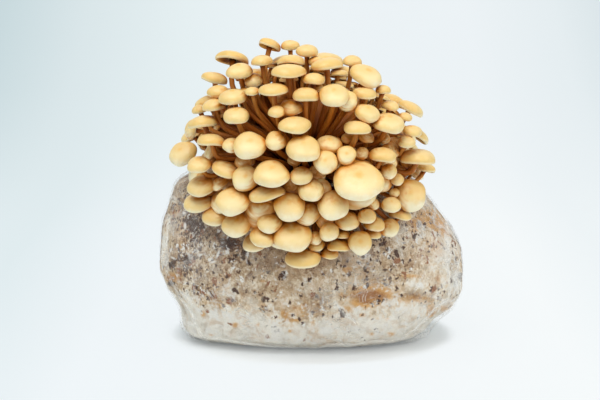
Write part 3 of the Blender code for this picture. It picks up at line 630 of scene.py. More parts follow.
@dataclass
class ClumpReader:
    """Reads the mushrooms of a clump back from its solid."""

    block: BVHTree
    fans: tuple = (7, 8, 10)
    shoulder_reach: float = 0.69
    shoulder_rise: float = 0.72
    foot_reach: float = 1.2 * MM
    foot_sunk: float = 0.8 * MM
    most_stem: float = 3.4 * MM
    usual_stem: float = 1.6 * MM
    least_radius: float = 2 * MM
    dome_shares: tuple = (0.35, 0.85)
    level_within: float = 0.08 * MM
    even_within: float = 1.2
    weld: float = 0.002 * MM

    def read(self, node: bpy.types.Object) -> list[MushroomForm]:
        """Finds each cap's crown and follows its stem down.

        Args:
            node: The clump's solid.

        Returns:
            Its mushrooms.
        """
        points, near = self.welded(node)
        foot = self.foot(points)
        found = (self.form_at(points, near, crown, foot) for crown in range(len(points)))
        return [form for form in found if form is not None]

    def welded(self, node: bpy.types.Object) -> tuple[np.ndarray, list[set[int]]]:
        """Merges the solid's points and lists each one's neighbours.

        Args:
            node: The clump's solid.

        Returns:
            The points, and for each the numbers of its neighbours.
        """
        mesh = node.data
        points = np.empty(len(mesh.vertices) * 3)
        mesh.vertices.foreach_get("co", points)
        points = points.reshape(-1, 3)
        _, first, index = np.unique(
            np.round(points / self.weld).astype(int), axis=0, return_index=True,
            return_inverse=True,
        )
        index = index.reshape(-1)
        near: list[set[int]] = [set() for _ in first]
        for edge in mesh.edges:
            start, end = index[edge.vertices[0]], index[edge.vertices[1]]
            if start != end:
                near[start].add(end)
                near[end].add(start)
        return points[first], near

    def foot(self, points: np.ndarray) -> np.ndarray:
        """Middle of the clump's points that touch the butt, a little way into it.

        Args:
            points: The clump's points.

        Returns:
            The place where its stems start.
        """
        low = []
        for point in points:
            hit, normal, _, distance = self.block.find_nearest(Vector(point))
            if distance < self.foot_reach:
                low.append(np.array(hit) - np.array(normal) * self.foot_sunk)
        return np.mean(low, axis=0)

    def form_at(self, points: np.ndarray, near: list[set[int]], crown: int,
                foot: np.ndarray) -> MushroomForm | None:
        """Reads a mushroom whose crown is at a point, if one is.

        Args:
            points: The clump's points.
            near: Each point's neighbours.
            crown: The number of the point.
            foot: Where the clump's stems start.

        Returns:
            The mushroom, or None.
        """
        shoulder = sorted(near[crown])
        if len(shoulder) not in self.fans:
            return None
        ring = points[shoulder]
        middle = ring.mean(axis=0)
        rise = np.linalg.norm(points[crown] - middle)
        axis = (points[crown] - middle) / max(rise, 1e-9)
        level = (ring - middle) @ axis
        reach = np.linalg.norm(ring - middle, axis=1)
        dome = rise / (1 - self.shoulder_rise)
        radius = reach.mean() / self.shoulder_reach
        even = reach.max() < self.even_within * reach.min()
        flat = np.abs(level).max() < self.level_within
        lowest, highest = self.dome_shares
        fits = lowest < dome / radius < highest and radius >= self.least_radius
        if not (even and flat and fits):
            return None
        seat = points[crown] - axis * dome
        path, stem = self.stem_below(points, near, {crown, *shoulder}, shoulder)
        path = [foot, *reversed(path[1:]), cap_middle(seat, axis, dome)]
        return MushroomForm(seat, axis, radius, dome, stem, np.array(path))

    def stem_below(self, points: np.ndarray, near: list[set[int]], seen: set[int],
                   level: list[int]) -> tuple[list[np.ndarray], float]:
        """Steps down from the shoulder, past the rim, from ring to ring of the stem.

        Args:
            points: The clump's points.
            near: Each point's neighbours.
            seen: The points above.
            level: The shoulder's points.

        Returns:
            The rings' middles and the stem's half width.
        """
        seen = set(seen)
        path: list[np.ndarray] = []
        widths: list[float] = []
        for step in range(6):
            level = sorted(set().union(*(near[point] for point in level)) - seen)
            seen |= set(level)
            if step == 0:
                continue
            if not 3 <= len(level) <= 6:
                break
            ring = points[level]
            spread = np.linalg.norm(ring - ring.mean(axis=0), axis=1)
            if spread.max() > self.most_stem:
                break
            path.append(ring.mean(axis=0))
            widths.append(float(spread.mean()))
        return path, (widths[0] if widths else self.usual_stem)


class Surface(Enum):
    """Material slots of a mushroom mesh."""

    CAP = 0
    GILL = 1
    STEM = 2


@dataclass
class MeshHeap:
    """Points, faces and painted values that gather into one mesh."""

    points: list = field(default_factory=list)
    faces: list = field(default_factory=list)
    surfaces: list = field(default_factory=list)
    painted: dict = field(default_factory=dict)
    count: int = 0

    def grid(self, points: np.ndarray, surface: Surface, painted: dict,
             closed: bool = False) -> None:
        """Adds rings of points as a skin.

        Args:
            points: Rings by points round each ring by 3.
            surface: The material slot of its faces.
            painted: For each painted value, one number or one for each point.
            closed: Closes both ends with a fan.
        """
        rings, sides = points.shape[:2]
        first = self.count
        self.points.append(points.reshape(-1, 3))
        here = np.arange(sides)
        after = (here + 1) % sides
        for ring in range(rings - 1):
            low, high = first + ring * sides, first + (ring + 1) * sides
            faces = np.stack((low + here, low + after, high + after, high + here), axis=1)
            self.faces.extend(faces.tolist())
            self.surfaces.extend([surface.value] * sides)
        self.count += rings * sides
        self.paint(painted, rings * sides)
        if closed:
            self.fan(first + here[::-1], points[0].mean(axis=0), surface, painted, 0)
            last = first + (rings - 1) * sides
            self.fan(last + here, points[-1].mean(axis=0), surface, painted, -1)

    def fan(self, ring: np.ndarray, centre: np.ndarray, surface: Surface, painted: dict,
            end: int) -> None:
        """Closes a ring with a fan of triangles.

        Args:
            ring: The numbers of the ring's points.
            centre: The fan's middle.
            surface: The material slot of its faces.
            painted: For each painted value, one number or one for each point.
            end: Which of them the middle takes.
        """
        self.points.append(centre[None, :])
        for step, corner in enumerate(ring):
            self.faces.append([int(corner), int(ring[(step + 1) % len(ring)]), self.count])
            self.surfaces.append(surface.value)
        self.count += 1
        ends = {name: np.ravel(value)[end] for name, value in painted.items()}
        self.paint(ends, 1)

    def paint(self, painted: dict, count: int) -> None:
        """Keeps the painted values of new points.

        Args:
            painted: For each painted value, one number or one for each point.
            count: How many points are new.
        """
        for name, value in painted.items():
            values = np.ravel(value) if np.size(value) == count else value
            values = np.broadcast_to(values, (count,))
            self.painted.setdefault(name, []).append(values)

    def object(self, name: str, materials: list[bpy.types.Material]) -> bpy.types.Object:
        """Makes the object.

        Args:
            name: The object's name.
            materials: Its materials, in the order of their slots.

        Returns:
            The object.
        """
        painted = {key: np.concatenate(values) for key, values in self.painted.items()}
        points = np.concatenate(self.points).tolist()
        made = make_object(name, points, self.faces, materials, painted)
        made.data.polygons.foreach_set("material_index", self.surfaces)
        made.data.validate()
        return made


@dataclass
class Recess:
    """How deep among its neighbours each mushroom point lies, 0 in the open to 1, for painted
    shade.
    """

    solids: BVHTree
    start: float = 1.3 * MM
    reach: float = 24 * MM
    slant: float = 0.75
    fade: float = 0.6
    round_count: int = 6
    aside: tuple = (0.31, 0.83, 0.47)

    def at(self, points: np.ndarray, ways: np.ndarray) -> np.ndarray:
        """Throws a few rays from each point and counts what they meet, the near more.

        Args:
            points: The points.
            ways: The way that the surface faces at each.

        Returns:
            One value for each point.
        """
        side = unit(np.cross(ways, self.aside))
        other = np.cross(ways, side)
        total = np.zeros(len(points))
        turns = np.arange(self.round_count) * 2 * math.pi / self.round_count
        slanted = [math.cos(turn) * side + math.sin(turn) * other for turn in turns]
        rays = [ways] + [unit(ways * self.slant + out) for out in slanted]
        for ray in rays:
            total += np.fromiter(
                (self.closeness(point, way) for point, way in zip(points, ray)), float, len(points)
            )
        return total / len(rays)

    def closeness(self, point: np.ndarray, way: np.ndarray) -> float:
        """How near the first thing in the way is: 1 when it touches, 0 when there is none.

        Args:
            point: The ray's start.
            way: Its way.

        Returns:
            The nearness.
        """
        heading = Vector(way)
        start = Vector(point) + heading * self.start
        distance = self.solids.ray_cast(start, heading, self.reach)[3]
        return 0.0 if distance is None else 1 - self.fade * distance / self.reach

    def round_rings(self, rings: np.ndarray, ways: np.ndarray, stride: int) -> np.ndarray:
        """Values for rings of points, worked out on every few and blended between them.

        Args:
            rings: Rings by points round each ring by 3.
            ways: The way that the surface faces at each.
            stride: Every how many points one is worked out.

        Returns:
            One value for each point.
        """
        some, facing = rings[:, ::stride], ways[:, ::stride]
        few = some.shape[1]
        values = self.at(some.reshape(-1, 3), unit(facing.reshape(-1, 3)))
        values = values.reshape(len(rings), few)
        place = np.arange(rings.shape[1]) / stride
        low = place.astype(int)
        share = place - low
        return values[:, low % few] * (1 - share) + values[:, (low + 1) % few] * share


@dataclass
class MushroomMaker:
    """Makes the fine mesh of one mushroom on its form."""

    recess: Recess
    seed: int = 11
    sides: tuple = ((9 * MM, 60), (6 * MM, 48), (4.7 * MM, 36), (0.0, 24))
    recess_sides: int = 12
    stem_sides: int = 10
    stem_rows: tuple = (20, 13)
    stem_share: float = 0.96
    many_rows_above: float = 7 * MM
    widest: float = 0.14
    roll: float = 0.08
    waves: tuple = (0.032, 0.028, 0.018)
    droop: float = 0.085
    gill_depth: float = 0.38 * MM
    wider: float = 1.045
    taller: float = 1.03
    # The lower a cap sits, down over a span from this height, the more painted shade it takes.
    shaded_below: float = 118 * MM
    shade_span: float = 40 * MM
    tone_and_shade_shares: tuple = (0.6, 0.45)
    fullness: tuple = (2.0, 2.35)
    hang: tuple = (0.02, 0.09)
    crown_start: float = 0.08
    crown_rows: int = 11
    rim_rows: int = 5
    gill_reach: tuple = (0.92, 0.72, 0.5, 0.3)
    gill_rise: float = 0.34
    gill_bow: float = 1.6
    gill_run: float = 1.1
    deep_gills_above: float = 9 * MM
    wave_counts: tuple = (2, 3, 5)
    lesser_droop: float = 0.6
    umbo: float = 0.05
    umbo_reach: float = 0.22
    thickening: float = 0.16
    foot_flare: float = 0.30
    foot_run: float = 0.035
    knots: tuple = (0.05, 9)

    def __post_init__(self) -> None:
        """Starts the seeded draw."""
        self.draw = np.random.default_rng(self.seed)

    def add(self, heap: MeshHeap, form: MushroomForm) -> None:
        """Adds a mushroom's cap, gills and stem to a heap.

        Args:
            heap: The heap.
            form: The mushroom.
        """
        # Painted shade that grows lower down the flush, added to each mushroom's own random
        # colouring.
        low_shade = np.clip((self.shaded_below - form.seat[2]) / self.shade_span, 0, 1)
        luck, low_shade_share = self.tone_and_shade_shares
        tone_and_shade = float(luck * self.draw.random() + low_shade_share * low_shade)
        self.add_cap(heap, form, tone_and_shade)
        self.add_stem(heap, form, tone_and_shade)

    def sides_for(self, form: MushroomForm) -> int:
        """Points round a cap: fewer on a smaller one."""
        return next(sides for above, sides in self.sides if form.radius > above)

    def outline(self) -> tuple[np.ndarray, np.ndarray, np.ndarray, int]:
        """Half section of a cap from its crown to its gills.

        Returns:
            Reach and rise as shares of the cap's width and dome, how near the hem each row
            is, and the rim's row.
        """
        fullness = 2 / self.draw.uniform(*self.fullness)
        hang = self.draw.uniform(*self.hang)
        fall = np.linspace(self.crown_start, math.pi / 2, self.crown_rows)
        reach = list(np.sin(fall) ** fullness)
        rise = list(self.widest + (1 - self.widest) * np.cos(fall) ** fullness)
        hem = [0.0] * (len(fall) - 1) + [0.5]
        for turn in np.linspace(0, math.pi / 2, self.rim_rows)[1:]:
            reach.append(1 - self.roll + self.roll * math.cos(turn))
            rise.append(self.widest - (self.widest + hang) * math.sin(turn))
            hem.append(1.0)
        rim = len(reach) - 1
        for share in self.gill_reach:
            reach.append((1 - self.roll) * share)
            rise.append((self.gill_rise + hang) * (1 - share**self.gill_bow) - hang)
            hem.append(0.0)
        return np.array(reach), np.array(rise), np.array(hem), rim

    def add_cap(self, heap: MeshHeap, form: MushroomForm, tone_and_shade: float) -> None:
        """Adds the cap's skin and its gilled underside.

        Args:
            heap: The heap.
            form: The mushroom.
            tone_and_shade: Own random colouring plus painted shade lower down, from 0 to about 1.
        """
        reach, rise, hem, rim = self.outline()
        top_rows, gill_rows = slice(0, rim + 1), slice(rim, None)
        sides = self.sides_for(form)
        radius, dome = form.radius * self.wider, form.dome * self.taller
        turn = np.arange(sides) * 2 * math.pi / sides
        phase = self.draw.uniform(0, 2 * math.pi, 6)
        sway = sum(
            size * np.cos(count * turn + phase[number])
            for number, (count, size) in enumerate(zip(self.wave_counts, self.waves))
        )
        sag = np.cos(2 * turn + phase[3]) + self.lesser_droop * np.cos(3 * turn + phase[4])
        droop = self.droop * sag
        out = reach[:, None] * (1 + sway[None, :] * reach[:, None] ** 1.5) * radius
        up = rise[:, None] * dome + droop[None, :] * radius * 0.5 * reach[:, None] ** 3
        umbo = self.draw.uniform(0.0, self.umbo) * np.exp(-((reach / self.umbo_reach) ** 2))
        up = up + umbo[:, None] * dome
        blades = np.where(np.arange(sides) % 2 == 0, 1.0, -1.0) * self.gill_depth
        share = np.clip((np.arange(len(reach)) - rim) / (len(reach) - 1 - rim), 0, 1)
        depth = np.sin(math.pi * np.clip(share * self.gill_run, 0, 1))
        depth *= min(1.0, form.radius / self.deep_gills_above)
        up = up - blades[None, :] * depth[:, None]
        side = unit(np.cross(form.axis, ASIDE))
        other = np.cross(form.axis, side)
        flat = np.cos(turn)[:, None] * side + np.sin(turn)[:, None] * other
        points = form.seat + out[..., None] * flat[None] + up[..., None] * form.axis
        skin, gills = points[top_rows], points[gill_rows]
        stride = sides // self.recess_sides
        # How deep the skin and the gills lie among the neighbours, for their painted shade.
        above = self.recess.round_rings(skin, skin - form.seat, stride)
        inside = form.seat + 2 * dome * form.axis
        below = self.recess.round_rings(gills, gills - inside, stride)
        # How far below the seat each point lies: paler below and deeper above, partly own colour
        # and partly painted light and shade.
        low = (form.seat[2] - skin[..., 2]) / form.radius
        first = heap.count
        heap.grid(skin, Surface.CAP, {
            "reach": np.repeat(reach[top_rows], sides), "tone_and_shade": tone_and_shade,
            "along": np.repeat(hem[top_rows], sides), "recess": above.ravel(), "low": low.ravel(),
        })
        top = form.seat + form.axis * (1 + umbo[0]) * dome
        heap.fan(first + np.arange(sides)[::-1], top, Surface.CAP, {
            "reach": 0.0, "tone_and_shade": tone_and_shade, "along": 0.0, "recess": above[0].mean(),
            "low": (form.seat[2] - top[2]) / form.radius,
        }, 0)
        heap.grid(gills, Surface.GILL, {
            "reach": np.repeat(reach[gill_rows], sides), "tone_and_shade": tone_and_shade,
            "along": np.repeat(hem[gill_rows], sides), "recess": below.ravel(), "low": 0.0,
        })

    def add_stem(self, heap: MeshHeap, form: MushroomForm, tone_and_shade: float) -> None:
        """Adds the stem as a tube along a smooth curve.

        Args:
            heap: The heap.
            form: The mushroom.
            tone_and_shade: Own random colouring plus painted shade lower down, from 0 to about 1.
        """
        many, few = self.stem_rows
        line = smooth_line(form.path, many if form.radius > self.many_rows_above else few)
        ways = unit(np.gradient(line, axis=0))
        along = np.linspace(1.0, 0.0, len(line))
        swell = 1 + self.thickening * along + self.foot_flare * np.exp(-along / self.foot_run)
        knot, turns = self.knots
        swell *= 1 + knot * np.sin(along * turns + self.draw.uniform(0, 6))
        side = unit(np.cross(ways[0], ASIDE))
        turn = np.arange(self.stem_sides) * 2 * math.pi / self.stem_sides
        rings = []
        for point, way, size in zip(line, ways, swell):
            side = unit(side - (side @ way) * way)
            flat = np.cos(turn)[:, None] * side + np.sin(turn)[:, None] * np.cross(way, side)
            rings.append(point + flat * size * form.stem * self.stem_share)
        skin = np.array(rings)
        # How deep each ring lies among the neighbours, for its painted shade.
        depth = self.recess.round_rings(skin, skin - line[:, None, :], 2)
        painted = {
            "reach": 0.0, "tone_and_shade": tone_and_shade, "along": np.repeat(along, self.stem_sides),
            "recess": depth.ravel(), "low": 0.0,
        }
        heap.grid(skin, Surface.STEM, painted, closed=True)


def smooth_line(points: np.ndarray, count: int) -> np.ndarray:
    """Runs a smooth curve through points and spaces new points evenly along it.

    Args:
        points: The points to run through.
        count: How many points to make.

    Returns:
        The new points.
    """
    before, after = 2 * points[:1] - points[1:2], 2 * points[-1:] - points[-2:-1]
    padded = np.concatenate((before, points, after))
    fine = []
    for number in range(1, len(padded) - 2):
        before, start, end, after = padded[number - 1 : number + 3]
        for share in np.linspace(0, 1, 24, endpoint=False):
            fine.append(0.5 * (
                2 * start + (end - before) * share
                + (2 * before - 5 * start + 4 * end - after) * share**2
                + (3 * start - before - 3 * end + after) * share**3
            ))
    fine.append(points[-1])
    fine = np.array(fine)
    run = np.concatenate(((0.0,), np.cumsum(np.linalg.norm(np.diff(fine, axis=0), axis=1))))
    even = np.linspace(0, run[-1], count)
    return np.stack([np.interp(even, run, fine[:, axis]) for axis in range(3)], axis=1)


@dataclass
class Thicket:
    """Small young mushrooms that stand in the gaps between the grown ones."""

    block: BVHTree
    heart: tuple = (-4 * MM, -20 * MM, 118 * MM)
    ways: int = 1100
    depths: tuple = (0.90, 0.82)
    shingles: tuple = (10.5, 9.0, 7.6, 6.2)
    buttons: tuple = (5.6, 4.6, 3.6)
    shingled_below: float = -0.02
    kept_low: float = 0.75
    kept_front: float = 0.06
    kept_side: float = 0.4
    kept_back: float = 0.7
    back_from: float = 0.1
    side_from: float = 0.3
    side_below: float = 0.45
    neighbours: int = 4
    blend: float = 1.02
    lean_shares: tuple = (0.7, 0.4)
    unruly: float = 0.08
    dome_taken: float = 0.55
    dome_needed: float = 0.34
    block_gap: float = 0.8
    stem_gap: float = 0.55
    stem_rows: int = 22
    stem_ends: int = 3
    least_stem: float = 0.8 * MM
    stem_shares: tuple = (0.75, 0.3)
    swerve: float = 1.5
    dome_share: float = 0.5
    snug: float = 0.82
    inside_flush: float = 0.955
    off_block: float = 2.5 * MM
    stem_half: float = 1.5 * MM
    seed: int = 23

    def grow(self, grown: list[MushroomForm]) -> list[tuple[int, MushroomForm]]:
        """Fills the gaps.

        Args:
            grown: The mushrooms that stand already.

        Returns:
            The young ones, each with the number of the grown one that it stands beside.
        """
        draw = np.random.default_rng(self.seed)
        heart = np.array(self.heart)
        tops = np.array([form.middle() for form in grown]) - heart
        far = np.linalg.norm(tops, axis=1)
        headings = tops / far[:, None]
        stems = [self.bare_stem(form) for form in grown]
        caps = list(grown)
        young = []
        along, out = self.lean_shares
        for depth in self.depths:
            for way in self.spread():
                near = np.argsort(-(headings @ way))[: self.neighbours]
                weight = 1 / (self.blend - headings[near] @ way)
                reach = float((far[near] * weight).sum() / weight.sum()) * depth
                inside = headings[near[0]] @ way >= self.inside_flush
                if not inside or draw.random() > self.kept(way):
                    continue
                lean = unit(sum(grown[number].axis for number in near))
                axis = unit(along * lean + out * way + draw.normal(0, self.unruly, 3))
                middle = heart + way * reach
                sizes = self.shingles if way[2] < self.shingled_below else self.buttons
                radius = self.room(middle, axis, sizes, caps, stems)
                if radius is None:
                    continue
                form = self.form_beside(grown[near[0]], middle, axis, radius)
                caps.append(form)
                stems.append(self.bare_stem(form))
                young.append((int(near[0]), form))
        log.info("thicket: %d young mushrooms", len(young))
        return young

    def spread(self) -> np.ndarray:
        """Even headings over the whole ball.

        Returns:
            One heading in each row.
        """
        number = np.arange(self.ways) + 0.5
        fall = np.arccos(1 - 2 * number / self.ways)
        turn = math.pi * (1 + 5**0.5) * number
        out = np.sin(fall)
        return np.stack((out * np.cos(turn), out * np.sin(turn), np.cos(fall)), axis=1)

    def bare_stem(self, form: MushroomForm) -> np.ndarray:
        """Points along a stem, without its ends in the butt and in the cap."""
        return smooth_line(form.path, self.stem_rows)[self.stem_ends : -self.stem_ends]

    def kept(self, way: np.ndarray) -> float:
        """Share of the places kept: most low down, few where the open top shows the stems.

        Args:
            way: The heading of a place.

        Returns:
            The share.
        """
        if way[2] < self.shingled_below:
            return self.kept_low
        if way[1] > self.back_from:
            return self.kept_back
        beside = way[0] > self.side_from and way[2] < self.side_below
        return self.kept_side if beside else self.kept_front

    def room(self, middle: np.ndarray, axis: np.ndarray, sizes: tuple, caps: list[MushroomForm],
             stems: list[np.ndarray]) -> float | None:
        """Largest cap that fits at a place, or None.

        Args:
            middle: The middle of the cap.
            axis: Its axis.
            sizes: Half widths to try, the largest first, in mm.
            caps: The mushrooms that stand already.
            stems: Points along their stems.

        Returns:
            The half width in metres, or None.
        """
        hit, normal, _, distance = self.block.find_nearest(Vector(middle))
        outside = (Vector(middle) - hit).dot(normal) > 0
        runs = np.concatenate(stems)
        stem_room = np.linalg.norm(runs - middle, axis=1).min() - self.stem_half
        seats = np.array([form.middle() for form in caps])
        axes = np.array([form.axis for form in caps])
        wide = np.array([form.radius for form in caps])
        high = np.array([form.dome for form in caps]) * self.dome_taken
        away = middle - seats
        level = np.abs((away * axes).sum(axis=1))
        aside = np.sqrt(np.maximum((away**2).sum(axis=1) - level**2, 0))
        for size in sizes:
            radius = size * MM
            over = level / (high + self.dome_needed * radius)
            apart = np.hypot(aside / (wide + radius), over).min()
            off_block = distance > radius * self.block_gap + self.off_block
            off_stems = stem_room > radius * self.stem_gap
            if outside and off_block and off_stems and apart > self.snug:
                return radius
        return None

    def form_beside(self, host: MushroomForm, middle: np.ndarray, axis: np.ndarray,
                    radius: float) -> MushroomForm:
        """A young mushroom from the host's foot to its own cap.

        Args:
            host: The grown mushroom beside it.
            middle: The middle of its cap.
            axis: The cap's axis.
            radius: The cap's half width.

        Returns:
            The young mushroom.
        """
        dome = radius * self.dome_share
        seat = middle - axis * dome * CAP_MIDDLE
        share = np.linspace(0, 1, len(host.path))[:, None]
        path = host.path + (cap_middle(seat, axis, dome) - host.path[-1]) * share**self.swerve
        of_host, of_cap = self.stem_shares
        stem = max(self.least_stem, min(host.stem * of_host, radius * of_cap))
        return MushroomForm(seat, axis, radius, dome, stem, path)


@dataclass
class Flush:
    """All the mushrooms: one piece for each clump."""

    frame: dict
    block: BVHTree

    def build(self) -> None:
        """Reads every clump, fills the gaps and makes the pieces."""
        skins = [CapSkin().make(), GillFlesh().make(), StemFlesh().make()]
        reader = ClumpReader(self.block)
        names = sorted(name for name in self.frame["nodes"] if name.startswith("mushrooms_"))
        solids = tree_of(*(self.frame["nodes"][name] for name in (*names, "substrate_block")))
        maker = MushroomMaker(Recess(solids))
        forms = {name: reader.read(self.frame["nodes"][name]) for name in names}
        grown = [form for name in names for form in forms[name]]
        owners = [name for name in names for _ in forms[name]]
        for host, form in Thicket(self.block).grow(grown):
            forms[owners[host]].append(form)
        for name in names:
            heap = MeshHeap()
            for form in forms[name]:
                maker.add(heap, form)
            piece = heap.object(name + "_fresh", skins)
            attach(piece, BODY)
            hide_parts(name)
            log.info("%s: %d mushrooms, %d faces", piece.name, len(forms[name]), len(heap.faces))
        log.info("flush: %d grown mushrooms", len(grown))


class Paint(Enum):
    """Painted values of the loaf."""

    SOIL = "soil"
    FLECK = "fleck"
    PALE = "pale"
    WHITE = "white"
    RUST = "rust"
    DARK = "dark"


@dataclass(frozen=True)
class Patch:
    """A soft oval of a painted value, placed by its column and row in the photograph.

    Its half width, half height and turn, clockwise in degrees, are those seen in the picture.
    """

    column: float
    row: float
    wide: float
    tall: float
    amount: float
    turn: float = 0.0

    def share(self, column: np.ndarray, row: np.ndarray) -> np.ndarray:
        """How strongly the oval shows at each column and row.

        Args:
            column: The columns.
            row: The rows.

        Returns:
            One share for each place.
        """
        turn = math.radians(self.turn)
        across, down = column - self.column, row - self.row
        along = across * math.cos(turn) + down * math.sin(turn)
        over = down * math.cos(turn) - across * math.sin(turn)
        return self.amount * np.exp(-((along / self.wide) ** 2) - (over / self.tall) ** 2)


